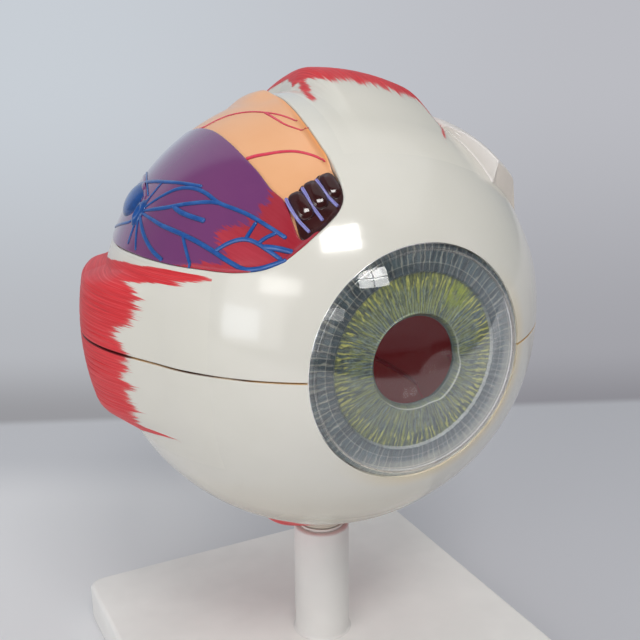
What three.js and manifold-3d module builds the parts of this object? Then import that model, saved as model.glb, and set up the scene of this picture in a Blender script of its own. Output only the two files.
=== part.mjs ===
// Enlarged right eye on a stand, for teaching. All sizes are in millimetres.
// The part stands on z = 0 with its origin under the post, +Z up. The eye looks along -Y,
// and -X is its temple side. Pieces of the globe are drawn about the globe's centre:
// u is the distance forward along the optical axis, theta the angle from that axis, and
// phi the angle round it, 0 at the top and negative towards the temple.
import * as THREE from 'three';
import { mergeVertices } from 'three/addons/utils/BufferGeometryUtils.js';
import Module from 'manifold-3d';

const wasm = await Module();
wasm.setup();

// Globe: three nested shells, cut across the middle
const GLOBE_RADIUS = 75;
const SCLERA_WALL = 3.8;
const CHOROID_WALL = 2;
const RETINA_WALL = 2;
const LAYER_GAP = 0.3;
const SEAM_GAP = 0.3;
const FIT = 0.3;
const SEGMENTS = 28;
const RING_STEP = 360 / SEGMENTS;

// Front opening, with the ledge that carries the iris and the cornea
const LIMBUS_RADIUS = 36.1;
const LEDGE_DEPTH = 4;
const LEDGE_THICKNESS = 3;
const LEDGE_RADIUS = 31;

// Cornea, iris, lens and zonule
const CORNEA_RISE = 14;
const CORNEA_WALL = 2.2;
const IRIS_THICKNESS = 1.6;
const IRIS_RISE = 1.4;
const PUPIL_RADIUS = 13.6;
const PUPIL_RING_WIDTH = 1.4;
const PUPIL_RING_HEIGHT = 0.8;
const IRIS_STEP_AT = 0.76;
const IRIS_STEP_HEIGHT = 0.5;
const LENS_EDGE = 3;
const LENS_FRONT_RISE = 8;
const LENS_BACK_RISE = 12;
const LENS_TO_IRIS = 1.2;
const DISH_GAP = 0.7;
const ZONULE_WIDTH = 4.1;
const ZONULE_THICKNESS = 0.8;
const ZONULE_SLOTS = 12;
const ZONULE_SLOT_WIDTH = 1.2;
const ZONULE_LIFT = 3.2;

// Choroid, retina and ciliary body: where each begins, as an angle from the optical axis
const CHOROID_FRONT_ANGLE = 36;
const RETINA_FRONT_ANGLE = 50;
const CILIARY_FRONT_ANGLE = 37;
const CILIARY_FOLDS = 24;
const CILIARY_FOLD_DEPTH = 1.6;
const CILIARY_ROOT = 5;
const CILIARY_FOLD_START = 3.6;
const CILIARY_FOLD_END = 7;
const CILIARY_BACK_WIDTH = 2.4;

// Window in the upper shell, on the temple side, as angles theta and phi
const WINDOW_FRONT_ANGLE = 40;
const WINDOW_BACK_ANGLE = 130;
const WINDOW_TOP_ANGLE = -11.5;
const WINDOW_BOTTOM_ANGLE = -66.5;
const WINDOW_CLEARANCE_ANGLE = 0.4;
const WINDOW_ROUND_STEPS = 5;
const WINDOW_ROUNDS = [
  { middle: [75, -36], reach: WINDOW_FRONT_ANGLE, side: WINDOW_TOP_ANGLE, power: 2.4 },
  { middle: [67, -36], reach: WINDOW_FRONT_ANGLE, side: WINDOW_BOTTOM_ANGLE, power: 2 },
  { middle: [105, -43], reach: WINDOW_BACK_ANGLE, side: WINDOW_BOTTOM_ANGLE, power: 2 },
  { middle: [105, -35], reach: WINDOW_BACK_ANGLE, side: WINDOW_TOP_ANGLE, power: 2 },
];
const CHOROID_STEP = 1.6;
const RETINA_STEP = 2.6;
const LOBE_STEP = 1.4;
const CHOROID_EDGE = [
  [140, -28], [105, -29], [78, -31.5], [63, -33], [52.5, -34.4], [47.5, -37.4], [42.5, -40.8], [34, -46],
];
const CHOROID_FAR_SIDE = [[34, -84], [87, -84], [140, -84]];
const CILIARY_EDGE = [
  [52.6, -35], [47.5, -37.8], [42.5, -41.2], [36, -44], [36, -14], [47, -14], [53.6, -18.5], [53.6, -27],
];

// Muscles and tendons on the globe
const MUSCLE_THICKNESS = 7.2;
const TENDON_THICKNESS = 0.9;
const TENDON_FRONT_ANGLE = 52;
const BELLY_FRONT_ANGLE = 66;
const BELLY_FULL_ANGLE = 97;
const MUSCLE_END_ANGLE = 120;
const RECTUS_HALF_ANGLE = 19.5;
const SUPERIOR_HALF_ANGLE = 16;
const FLAT_SHARE = 0.79;
const STRAP_START_LIFT = 2.7;
const STRAP_END_LIFT_LEFT = 6.6;
const STRAP_END_LIFT_RIGHT = 9.5;

// Optic nerve, on the nose side of the back pole
const NERVE_ANGLE = 15;
const NERVE_RADIUS = 6.5;
const SHEATH_RADIUS = 10.5;
const NERVE_LENGTH = 22;

// Veins on the choroid
const VEIN_WIDTH = 2.4;
const VEIN_HEIGHT = 1.1;
const AMPULLA_RADIUS = 3.6;

// Stand
const BASE_SIDE = 148;
const BASE_THICKNESS = 15;
const BASE_WALL = 3;
const BASE_CORNER = 5;
const BASE_EDGE = 1.5;
const BASE_RIB = 2.4;
const BOSS_RADIUS = 14;
const POST_RADIUS = 10.4;
const POST_LENGTH = 45;
const SPIGOT_RADIUS = 8;
const SPIGOT_LENGTH = 11;
const NECK_RADIUS = 8.6;
const NECK_LENGTH = 10;
const PIN_RADIUS = 4;
const PIN_IN_POST = 18;
const BUSH_WALL = 1.6;
const BORE_ROOF = 0.5;
const WASHER_THICKNESS = 1;

// Pegs that line the two halves up
const PEG_RADIUS = 1;
const PEG_LENGTH = 7;
const PEG_ANGLES = [48, 130, 265];

// Sizes worked out from the ones above
const SCLERA_INNER = GLOBE_RADIUS - SCLERA_WALL;
const CHOROID_OUTER = SCLERA_INNER - LAYER_GAP;
const CHOROID_INNER = CHOROID_OUTER - CHOROID_WALL;
const RETINA_OUTER = CHOROID_INNER - LAYER_GAP;
const RETINA_INNER = RETINA_OUTER - RETINA_WALL;
const VITREOUS_RADIUS = RETINA_INNER - LAYER_GAP;
const MUSCLE_SEAT = GLOBE_RADIUS + FIT;
const RIM_RADIUS = LIMBUS_RADIUS + FIT;
const LIMBUS_U = Math.sqrt(GLOBE_RADIUS ** 2 - RIM_RADIUS ** 2);
const LEDGE_U = LIMBUS_U - LEDGE_DEPTH;
const LEDGE_BACK = LEDGE_U - LEDGE_THICKNESS;
const IRIS_BACK = LEDGE_U + FIT;
const IRIS_FACE = IRIS_BACK + IRIS_THICKNESS;
const LENS_RADIUS = LEDGE_RADIUS - 3 * FIT - ZONULE_WIDTH;
const LENS_FRONT_U = LEDGE_U - LENS_TO_IRIS;
const LENS_RIM_FRONT = LENS_FRONT_U - LENS_FRONT_RISE;
const LENS_RIM_BACK = LENS_RIM_FRONT - LENS_EDGE;
const GLOBE_HEIGHT = BASE_THICKNESS + POST_LENGTH + NECK_LENGTH + GLOBE_RADIUS;
const POST_TOP = BASE_THICKNESS + POST_LENGTH;
const NECK_BOTTOM = -GLOBE_RADIUS - NECK_LENGTH + WASHER_THICKNESS + 2 * FIT;
const BUSH_RADIUS = PIN_RADIUS + FIT + BUSH_WALL;
const NECK_ROOF = -SCLERA_INNER - SCLERA_WALL / 2;
const FAR = 3 * GLOBE_RADIUS;
// How far a faceted ball's faces lie inside the true ball
const FACET_SAG = GLOBE_RADIUS * (1 - Math.cos(Math.PI / SEGMENTS) ** 2);

const radians = THREE.MathUtils.degToRad;
const degrees = THREE.MathUtils.radToDeg;

// A closed mesh becomes a solid once its corners are shared, its slivers are gone and its
// faces point outwards.
function solid(geometry) {
  const bare = geometry.clone();
  bare.deleteAttribute('normal');
  bare.deleteAttribute('uv');
  const merged = mergeVertices(bare, 1e-4);
  const vertProperties = new Float32Array(merged.attributes.position.array);
  const corners = merged.index.array;
  const kept = [];
  let volume = 0;
  for (let i = 0; i < corners.length; i += 3) {
    const [a, b, c] = [corners[i], corners[i + 1], corners[i + 2]];
    if (a === b || b === c || c === a) continue;
    kept.push(a, b, c);
    const [pa, pb, pc] = [a, b, c].map((k) => new THREE.Vector3().fromArray(vertProperties, 3 * k));
    volume += pa.dot(pb.cross(pc));
  }
  if (volume < 0) kept.reverse();
  return new wasm.Manifold(new wasm.Mesh({ numProp: 3, vertProperties, triVerts: new Uint32Array(kept) }));
}

function geometryOf(manifold) {
  const { vertProperties, triVerts } = manifold.getMesh();
  const geometry = new THREE.BufferGeometry();
  geometry.setAttribute('position', new THREE.BufferAttribute(new Float32Array(vertProperties), 3));
  geometry.setIndex(new THREE.BufferAttribute(new Uint32Array(triVerts), 1));
  geometry.computeVertexNormals();
  return geometry;
}

// Unit vector at theta from the optical axis and phi round it, in degrees
function direction(theta, phi) {
  const [t, p] = [radians(theta), radians(phi)];
  return new THREE.Vector3(Math.sin(t) * Math.sin(p), -Math.cos(t), Math.sin(t) * Math.cos(p));
}

// Turns a closed profile of [radius, u] points round the optical axis
function turned(profile) {
  const points = profile.map(([radius, u]) => new THREE.Vector2(radius, -u));
  return solid(new THREE.LatheGeometry(points, SEGMENTS));
}

// Arc of a ball of the given radius, from one theta to another, as [radius, u] points that
// share their angles with every other ball
function arc(radius, from, to, step = RING_STEP) {
  const low = Math.min(from, to);
  const high = Math.max(from, to);
  const angles = [low];
  for (let t = Math.ceil(low / step + 0.1) * step; t < high - 1; t += step) angles.push(t);
  angles.push(high);
  const points = angles.map((t) => [
    t < 180 && t > 0 ? radius * Math.sin(radians(t)) : 0,
    radius * Math.cos(radians(t)),
  ]);
  return from < to ? points : points.reverse();
}

function ball(radius) {
  return turned(arc(radius, 0, 180));
}

// Arc of a shallow dome about the optical axis, from its rim to its middle
function dome(rimRadius, rimU, rise, steps) {
  const radius = (rimRadius ** 2 + rise ** 2) / (2 * Math.abs(rise));
  const span = Math.asin(rimRadius / radius);
  return Array.from({ length: steps + 1 }, (_, i) => {
    const angle = span * (1 - i / steps);
    const height = radius * Math.cos(angle) - (radius - Math.abs(rise));
    return [i === steps ? 0 : radius * Math.sin(angle), rimU + Math.sign(rise) * height];
  });
}

function box(x, y, z, centre) {
  return solid(new THREE.BoxGeometry(x, y, z).translate(...centre));
}

// Upright round bar or cone between two heights
function bar(radiusLow, radiusHigh, low, high, sides = 16) {
  const geometry = new THREE.CylinderGeometry(radiusHigh, radiusLow, high - low, sides);
  return solid(geometry.rotateX(Math.PI / 2).translate(0, 0, (low + high) / 2));
}

function upperHalf(whole) {
  return whole.intersect(box(2 * FAR, 2 * FAR, FAR, [0, 0, FAR / 2 + SEAM_GAP / 2]));
}

function lowerHalf(whole) {
  return whole.intersect(box(2 * FAR, 2 * FAR, FAR, [0, 0, -FAR / 2 - SEAM_GAP / 2]));
}

// Cone from the globe's centre through a closed outline of [theta, phi] points
function cone(outline) {
  const rays = outline.map(([theta, phi]) => direction(theta, phi));
  const middle = rays.reduce((sum, ray) => sum.add(ray), new THREE.Vector3()).normalize();
  const count = rays.length;
  const position = [0, 0, 0, ...middle.multiplyScalar(FAR).toArray()];
  rays.forEach((ray) => position.push(...ray.multiplyScalar(FAR).toArray()));
  const index = [];
  for (let i = 0; i < count; i += 1) {
    const here = 2 + i;
    const next = 2 + ((i + 1) % count);
    index.push(0, here, next, 1, next, here);
  }
  const geometry = new THREE.BufferGeometry();
  geometry.setAttribute('position', new THREE.Float32BufferAttribute(position, 3));
  geometry.setIndex(index);
  return solid(geometry);
}

// The window's outline: a rectangle in theta and phi whose front corners are wide rounds,
// drawn in by a margin in degrees
function windowOutline(margin) {
  const steps = WINDOW_ROUND_STEPS;
  return WINDOW_ROUNDS.flatMap(({ middle: [theta, phi], reach, side, power }, corner) => {
    const alongTheta = Math.abs(reach - theta) - margin;
    const alongPhi = Math.abs(side - phi) - margin;
    return Array.from({ length: steps + 1 }, (_, i) => {
      const turn = (corner % 2 ? i : steps - i) * (Math.PI / 2 / steps);
      return [
        theta + Math.sign(reach - theta) * alongTheta * Math.cos(turn) ** (2 / power),
        phi + Math.sign(side - phi) * alongPhi * Math.sin(turn) ** (2 / power),
      ];
    });
  });
}

// The choroid's cut edge across the window: below it the choroid shows, above it the retina
function choroidSide(margin) {
  return cone([...CHOROID_EDGE.map(([theta, phi]) => [theta, phi - margin]), ...CHOROID_FAR_SIDE]);
}

// Ground of the ciliary body in the window's front corner
function ciliaryGround(margin) {
  return cone(CILIARY_EDGE.map(([theta, phi]) => [theta + margin, phi + margin]));
}

// Round bar along the optic nerve, between two distances from the globe's centre
function nerveBar(radius, from, to, sides = 16) {
  const geometry = new THREE.CylinderGeometry(radius, radius, to - from, sides);
  geometry.translate(0, (from + to) / 2, 0).rotateY(Math.PI / sides);
  return solid(geometry.rotateZ(-radians(NERVE_ANGLE)));
}

function nerveHole(shell) {
  return shell.subtract(nerveBar(NERVE_RADIUS + FIT, GLOBE_RADIUS / 2, FAR));
}

// Sclera: ball shell with the round front opening and its inward ledge
function scleraShell() {
  const limbusTheta = degrees(Math.asin(RIM_RADIUS / GLOBE_RADIUS));
  const innerTheta = degrees(Math.acos(LEDGE_BACK / SCLERA_INNER));
  return nerveHole(turned([
    ...arc(GLOBE_RADIUS, 180, limbusTheta),
    [RIM_RADIUS, LEDGE_U],
    [LEDGE_RADIUS, LEDGE_U],
    [LEDGE_RADIUS, LEDGE_BACK],
    ...arc(SCLERA_INNER, innerTheta, 180),
  ]));
}

function pegPlace(angle) {
  const radius = GLOBE_RADIUS - SCLERA_WALL / 2;
  return [-radius * Math.sin(radians(angle)), -radius * Math.cos(radians(angle))];
}

function withPegHoles(shell) {
  const half = PEG_LENGTH / 2 + FIT;
  return PEG_ANGLES.reduce((left, angle) => {
    const [x, y] = pegPlace(angle);
    return left.subtract(bar(PEG_RADIUS + FIT, PEG_RADIUS + FIT, -half, half, 8).translate(x, y, 0));
  }, shell);
}

function scleraUpper() {
  return withPegHoles(upperHalf(scleraShell())).subtract(cone(windowOutline(0)));
}

// The lower half has the neck that turns on the stand's pin
function scleraLower() {
  const neck = bar(NECK_RADIUS, NECK_RADIUS, NECK_BOTTOM, NECK_ROOF);
  const bore = bar(BUSH_RADIUS + FIT, BUSH_RADIUS + FIT, NECK_BOTTOM - 1, NECK_ROOF - BORE_ROOF);
  return withPegHoles(lowerHalf(scleraShell())).add(neck).subtract(bore);
}

function layerShell(outer, inner, front) {
  const profile = [...arc(outer, 180, front), ...arc(inner, front, 180)];
  return nerveHole(turned(profile));
}

function layerBetween(outer, inner) {
  return ball(outer).subtract(ball(inner));
}

// In the window the choroid stands up through the sclera as far as its own cut edge
function choroidUpper() {
  const bare = cone(windowOutline(0)).subtract(choroidSide(0));
  const shown = cone(windowOutline(WINDOW_CLEARANCE_ANGLE)).intersect(choroidSide(WINDOW_CLEARANCE_ANGLE));
  const land = layerBetween(GLOBE_RADIUS - CHOROID_STEP, CHOROID_INNER + CHOROID_WALL / 2).intersect(shown);
  return upperHalf(layerShell(CHOROID_OUTER, CHOROID_INNER, CHOROID_FRONT_ANGLE)).subtract(bare).add(land);
}

// In the window the retina stands up through the cut in the choroid
function retinaUpper() {
  const shown = cone(windowOutline(WINDOW_CLEARANCE_ANGLE))
    .subtract(choroidSide(-WINDOW_CLEARANCE_ANGLE))
    .subtract(ciliaryGround(WINDOW_CLEARANCE_ANGLE));
  const land = layerBetween(GLOBE_RADIUS - RETINA_STEP, RETINA_INNER + RETINA_WALL / 2).intersect(shown);
  return upperHalf(layerShell(RETINA_OUTER, RETINA_INNER, RETINA_FRONT_ANGLE)).add(land);
}

function choroidLower() {
  return lowerHalf(layerShell(CHOROID_OUTER, CHOROID_INNER, CHOROID_FRONT_ANGLE));
}

function retinaLower() {
  return lowerHalf(layerShell(RETINA_OUTER, RETINA_INNER, RETINA_FRONT_ANGLE));
}

// Ring of wedge section round the lens, whose inner face is folded into rays
function ciliaryRing() {
  const outer = RETINA_OUTER - FACET_SAG;
  const back = RETINA_FRONT_ANGLE - 1;
  const onOuter = (theta) => [outer * Math.sin(radians(theta)), outer * Math.cos(radians(theta))];
  const rootU = LEDGE_BACK - FIT;
  const [backRadius, backU] = onOuter(back);
  const section = [
    { at: onOuter(CILIARY_FRONT_ANGLE), fold: 0 },
    { at: [backRadius, backU], fold: 0 },
    { at: [backRadius - CILIARY_BACK_WIDTH, backU - CILIARY_BACK_WIDTH / 2], fold: 0 },
    { at: [LEDGE_RADIUS + CILIARY_FOLD_END, rootU - CILIARY_FOLD_END], fold: 1 },
    { at: [LEDGE_RADIUS + CILIARY_FOLD_DEPTH, rootU - CILIARY_FOLD_START], fold: 1 },
    { at: [LEDGE_RADIUS + CILIARY_ROOT, rootU], fold: 0 },
  ];
  const steps = CILIARY_FOLDS * 3;
  const position = [];
  for (let i = 0; i < steps; i += 1) {
    const turn = ((i + 0.5) / steps) * 2 * Math.PI;
    const wave = Math.cos(CILIARY_FOLDS * turn);
    section.forEach(({ at: [radius, u], fold }) => {
      const drawn = radius - fold * CILIARY_FOLD_DEPTH * wave;
      position.push(drawn * Math.sin(turn), -u, drawn * Math.cos(turn));
    });
  }
  const geometry = new THREE.BufferGeometry();
  geometry.setAttribute('position', new THREE.Float32BufferAttribute(position, 3));
  geometry.setIndex(closedGrid(steps, section.length));
  return solid(geometry);
}

// Index of a grid of points that closes on itself both ways
function closedGrid(rows, columns) {
  const index = [];
  for (let i = 0; i < rows; i += 1) {
    for (let j = 0; j < columns; j += 1) {
      const a = i * columns + j;
      const b = i * columns + ((j + 1) % columns);
      const c = ((i + 1) % rows) * columns + j;
      const d = ((i + 1) % rows) * columns + ((j + 1) % columns);
      index.push(a, b, d, a, d, c);
    }
  }
  return index;
}

// Lobes of the ciliary body as the window shows them
const LOBES = [
  { back: [50.7, -31.3], front: [49.2, -32], halfWidth: 3 },
  { back: [50.9, -25.6], front: [49.4, -26.4], halfWidth: 3 },
  { back: [50.7, -20.4], front: [49.2, -21], halfWidth: 2.8 },
];

function lobe({ back, front, halfWidth }) {
  const height = GLOBE_RADIUS - LOBE_STEP;
  const ends = [back, front].map(([theta, phi]) => direction(theta, phi).multiplyScalar(height - halfWidth));
  const along = new THREE.Vector3().subVectors(ends[0], ends[1]);
  const middle = new THREE.Vector3().addVectors(ends[0], ends[1]).divideScalar(2);
  const geometry = new THREE.CapsuleGeometry(halfWidth, along.length(), 3, 8);
  const turn = new THREE.Quaternion().setFromUnitVectors(new THREE.Vector3(0, 1, 0), along.normalize());
  return solid(geometry.applyQuaternion(turn).translate(...middle.toArray()));
}

function ciliaryLobes() {
  const ground = layerBetween(GLOBE_RADIUS - RETINA_STEP - 0.6, RETINA_OUTER + LAYER_GAP);
  const lobes = LOBES.map(lobe).reduce((sum, one) => sum.add(one));
  return ground.add(lobes.subtract(ball(RETINA_OUTER + LAYER_GAP)))
    .intersect(ciliaryGround(0))
    .intersect(cone(windowOutline(WINDOW_CLEARANCE_ANGLE)))
    .subtract(choroidSide(-WINDOW_CLEARANCE_ANGLE));
}

// Tube of a few sides along a smooth line through points on a ball
function tube(points, radius, steps, sides = 4) {
  const path = new THREE.CatmullRomCurve3(points);
  const section = new THREE.Shape(Array.from({ length: sides }, (_, i) => {
    const angle = ((i + 0.5) / sides) * 2 * Math.PI;
    return new THREE.Vector2(radius * Math.cos(angle), radius * Math.sin(angle));
  }));
  return solid(new THREE.ExtrudeGeometry(section, { steps, extrudePath: path, bevelEnabled: false }));
}

// Veins of the choroid, each a line of [theta, phi] points that starts at the ampulla or on
// another vein
const AMPULLA = [91.5, -57.2];
const REAR_AMPULLA = [104, -54];
const VEINS = [
  [AMPULLA, REAR_AMPULLA],
  [REAR_AMPULLA, [97, -49.6], [88, -47.8], [80.4, -46], [72.8, -44.1]],
  [AMPULLA, [89.1, -48]],
  [AMPULLA, [84.5, -51.2], [75.1, -45.9], [65.3, -45.6], [56.2, -43.4], [45.5, -42.9]],
  [AMPULLA, [79.3, -53.1], [73.5, -49.8], [64, -45.1]],
  [[77.5, -52.3], [71.2, -52.2], [65.3, -51.5]],
  [AMPULLA, [77.3, -57.5], [63.6, -56.8], [52.7, -57.2], [47.9, -55.5], [43.4, -49]],
  [[69, -57.2], [65.1, -60.6], [62.2, -63.4]],
  [AMPULLA, [82.7, -61.8], [71.1, -64.6]],
  [AMPULLA, [83.9, -65.4]],
  [AMPULLA, [90, -65]],
  [AMPULLA, [107, -64]],
  [[58.2, -56.9], [53, -49.6], [48.6, -49], [44, -49.6]],
  [[52.6, -49.4], [53.8, -43.4]],
  [[50.3, -49], [48.6, -43.2]],
];

function vortexVeins() {
  const ground = GLOBE_RADIUS - CHOROID_STEP + LAYER_GAP;
  const depth = VEIN_WIDTH / 2 - VEIN_HEIGHT;
  const onGround = ([theta, phi]) => direction(theta, phi).multiplyScalar(ground - depth);
  const bulbs = [AMPULLA, REAR_AMPULLA].map((place) => {
    const [x, y, z] = direction(...place).multiplyScalar(ground - AMPULLA_RADIUS / 2).toArray();
    return solid(new THREE.SphereGeometry(AMPULLA_RADIUS, 8, 6)).translate(x, y, z);
  });
  const tubes = VEINS.map((line) => tube(line.map(onGround), VEIN_WIDTH / 2, 2 * line.length - 2));
  const net = [...bulbs, ...tubes].reduce((sum, one) => sum.add(one));
  return net.subtract(ball(ground)).intersect(cone(windowOutline(1.5 * WINDOW_CLEARANCE_ANGLE)));
}

// Closed patch between two surfaces: foot(s, t) and top(s, t) give the points of its underside
// and of its upper side. s runs along the piece, t across it.
function patch(along, across, foot, top) {
  const position = [];
  const layer = (along + 1) * (across + 1);
  for (const face of [foot, top]) {
    for (let i = 0; i <= along; i += 1) {
      for (let j = 0; j <= across; j += 1) position.push(...face(i / along, j / across).toArray());
    }
  }
  const index = [];
  const quad = (a, b, c, d) => index.push(a, b, c, a, c, d);
  const id = (face, i, j) => face * layer + i * (across + 1) + j;
  for (let i = 0; i < along; i += 1) {
    for (let j = 0; j < across; j += 1) {
      quad(id(0, i, j), id(0, i + 1, j), id(0, i + 1, j + 1), id(0, i, j + 1));
      quad(id(1, i, j), id(1, i, j + 1), id(1, i + 1, j + 1), id(1, i + 1, j));
    }
    quad(id(0, i, 0), id(1, i, 0), id(1, i + 1, 0), id(0, i + 1, 0));
    quad(id(0, i, across), id(0, i + 1, across), id(1, i + 1, across), id(1, i, across));
  }
  for (let j = 0; j < across; j += 1) {
    quad(id(0, 0, j), id(0, 0, j + 1), id(1, 0, j + 1), id(1, 0, j));
    quad(id(0, along, j), id(1, along, j), id(1, along, j + 1), id(0, along, j + 1));
  }
  const geometry = new THREE.BufferGeometry();
  geometry.setAttribute('position', new THREE.Float32BufferAttribute(position, 3));
  geometry.setIndex(index);
  return solid(geometry);
}

function smooth(value, from, to) {
  const t = Math.min(Math.max((value - from) / (to - from), 0), 1);
  return t * t * (3 - 2 * t);
}

// Straight muscle: a thin tendon in front that swells into a thick belly cut off at the back.
// It follows the meridian at phi. Its top is level with the globe over FLAT_SHARE of its width,
// and its sides slope down from there.
function rectus({ phi, halfWidth, shift = 0 }) {
  const [along, across] = [10, 6];
  const side = new THREE.Vector3(Math.cos(radians(phi)), 0, -Math.sin(radians(phi)));
  const thetaAt = (s) => TENDON_FRONT_ANGLE + (MUSCLE_END_ANGLE - TENDON_FRONT_ANGLE) * s;
  const flank = 2 / across;
  const shareAt = (t) => {
    const reach = Math.abs(2 * t - 1);
    const share = reach > 1 - flank - 1e-9
      ? 1 - (1 - reach) * (1 - FLAT_SHARE) / flank
      : reach * FLAT_SHARE / (1 - flank);
    return Math.sign(2 * t - 1) * share;
  };
  const at = (s, t) => {
    const offset = radians(shift + halfWidth * shareAt(t));
    const onMeridian = direction(thetaAt(s), phi).multiplyScalar(Math.cos(offset));
    return onMeridian.addScaledVector(side, Math.sin(offset));
  };
  const height = (s, t) => {
    const theta = thetaAt(s);
    const tendon = TENDON_THICKNESS * smooth(theta, TENDON_FRONT_ANGLE - 2, TENDON_FRONT_ANGLE + 8);
    const belly = (MUSCLE_THICKNESS - TENDON_THICKNESS) * smooth(theta, BELLY_FRONT_ANGLE, BELLY_FULL_ANGLE);
    const shoulder = Math.min(1, (1 - Math.abs(shareAt(t))) / (1 - FLAT_SHARE));
    return FIT + (tendon + belly) * shoulder;
  };
  return patch(
    along,
    across,
    (s, t) => at(s, t).multiplyScalar(MUSCLE_SEAT),
    (s, t) => at(s, t).multiplyScalar(MUSCLE_SEAT + height(s, t)),
  );
}

// Strap between two pairs of corners given as [theta, phi]. Its sides and its cut end stand
// upright, as the mould leaves them, and it is raised upwards or downwards from the globe.
function strap({ startLeft, startRight, endLeft, endRight }) {
  const [along, across] = [6, 4];
  const foot = (s, t) => {
    const left = direction(...startLeft).lerp(direction(...endLeft), s);
    const right = direction(...startRight).lerp(direction(...endRight), s);
    return left.lerp(right, t).normalize().multiplyScalar(MUSCLE_SEAT);
  };
  const lift = (s, t) => {
    const end = STRAP_END_LIFT_LEFT + (STRAP_END_LIFT_RIGHT - STRAP_END_LIFT_LEFT) * t;
    return STRAP_START_LIFT + (end - STRAP_START_LIFT) * s;
  };
  const upright = new THREE.Vector3(0, 0, Math.sign(direction(...endLeft).z));
  return patch(along, across, foot, (s, t) => foot(s, t).addScaledVector(upright, lift(s, t)));
}

const LATERAL = { phi: -90, halfWidth: RECTUS_HALF_ANGLE, shift: -0.5 };
const MEDIAL = { phi: 90, halfWidth: RECTUS_HALF_ANGLE };
const SUPERIOR = { phi: 12, halfWidth: SUPERIOR_HALF_ANGLE };
const INFERIOR = { phi: 180, halfWidth: RECTUS_HALF_ANGLE };
const SUPERIOR_OBLIQUE = {
  startLeft: [71, 29.6], startRight: [83, 29.4], endLeft: [57.8, 41], endRight: [62.6, 56.6],
};
const INFERIOR_OBLIQUE = {
  startLeft: [100, -153], startRight: [113, -150], endLeft: [112, -128], endRight: [125, -122],
};

// The belly is cut where the neck comes down through it
function inferiorRectus() {
  const room = NECK_RADIUS + 2 * FIT;
  return rectus(INFERIOR).subtract(bar(room, room, -FAR, 0));
}

function nerveSheath() {
  return nerveBar(SHEATH_RADIUS, GLOBE_RADIUS / 2, GLOBE_RADIUS + NERVE_LENGTH)
    .subtract(nerveBar(NERVE_RADIUS + FIT, 0, FAR))
    .subtract(ball(GLOBE_RADIUS + FIT + FACET_SAG));
}

// The nerve ends in a shallow cup, level with the retina
function opticNerve() {
  return nerveBar(NERVE_RADIUS, RETINA_INNER - 4, GLOBE_RADIUS + NERVE_LENGTH + 4)
    .subtract(ball(RETINA_INNER + 2 * FIT));
}

// Clear dome whose wall stands on the rim of the iris
function cornea() {
  const outer = dome(LIMBUS_RADIUS, LIMBUS_U, CORNEA_RISE, 6);
  const inner = dome(LIMBUS_RADIUS - CORNEA_WALL, LIMBUS_U, CORNEA_RISE - CORNEA_WALL, 5);
  return turned([
    ...outer,
    ...inner.reverse(),
    [LIMBUS_RADIUS - CORNEA_WALL, IRIS_FACE + FIT],
    [LIMBUS_RADIUS, IRIS_FACE + FIT],
    [LIMBUS_RADIUS, LIMBUS_U],
  ].reverse());
}

// Shallow cone disc with a flat rim under the cornea's wall, a raised ring round the pupil
// and a low step outside it
function iris() {
  const rim = LIMBUS_RADIUS;
  const seat = LIMBUS_RADIUS - CORNEA_WALL - FIT;
  const front = (radius) => IRIS_FACE + IRIS_RISE * (seat - radius) / (seat - PUPIL_RADIUS);
  const stepRadius = IRIS_STEP_AT * seat;
  const ringOuter = PUPIL_RADIUS + PUPIL_RING_WIDTH;
  return turned([
    [rim, IRIS_BACK],
    [rim, IRIS_FACE],
    [seat, IRIS_FACE],
    [stepRadius + IRIS_STEP_HEIGHT, front(stepRadius)],
    [stepRadius, front(stepRadius) + IRIS_STEP_HEIGHT],
    [ringOuter + IRIS_STEP_HEIGHT, front(ringOuter)],
    [ringOuter, front(ringOuter) + PUPIL_RING_HEIGHT],
    [PUPIL_RADIUS, front(PUPIL_RADIUS) + PUPIL_RING_HEIGHT],
    [PUPIL_RADIUS, front(PUPIL_RADIUS) - IRIS_THICKNESS],
    [LEDGE_RADIUS, IRIS_BACK],
    [rim, IRIS_BACK],
  ]);
}

function lens() {
  return turned([
    ...dome(LENS_RADIUS, LENS_RIM_FRONT, LENS_FRONT_RISE, 4).reverse(),
    ...dome(LENS_RADIUS, LENS_RIM_BACK, -LENS_BACK_RISE, 4),
  ]);
}

// Thin cone of threads between the lens and the ciliary rays, cut into strips by slots
function zonule() {
  const inner = LENS_RADIUS + FIT;
  const outer = LEDGE_RADIUS - 2 * FIT;
  const low = (LENS_RIM_FRONT + LENS_RIM_BACK) / 2 - ZONULE_THICKNESS;
  const whole = turned([
    [inner, low],
    [outer, low + ZONULE_LIFT],
    [outer, low + ZONULE_LIFT + ZONULE_THICKNESS],
    [inner, low + ZONULE_THICKNESS],
    [inner, low],
  ]);
  const slotLength = (outer - inner) / 2;
  const slotMiddle = (outer + inner) / 2;
  const angles = Array.from({ length: ZONULE_SLOTS }, (_, i) => (i + 0.5) * (360 / ZONULE_SLOTS));
  return angles.reduce((left, angle) => {
    const slot = new THREE.BoxGeometry(ZONULE_SLOT_WIDTH, LENS_RADIUS, slotLength);
    slot.translate(0, -low, slotMiddle).rotateY(radians(angle));
    return left.subtract(solid(slot));
  }, whole);
}

// Clear body that fills the globe, dished in front for the lens
function vitreous() {
  const dishRadius = LENS_RADIUS + FIT;
  const dish = dome(dishRadius, LENS_RIM_BACK - DISH_GAP, -LENS_BACK_RISE, 4);
  return turned([
    ...arc(VITREOUS_RADIUS, 180, RETINA_FRONT_ANGLE + 1, 2 * RING_STEP),
    [LEDGE_RADIUS - FIT, LENS_RIM_BACK - FIT],
    [dishRadius, LENS_RIM_BACK - FIT],
    ...dish.slice(1),
  ]);
}

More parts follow.
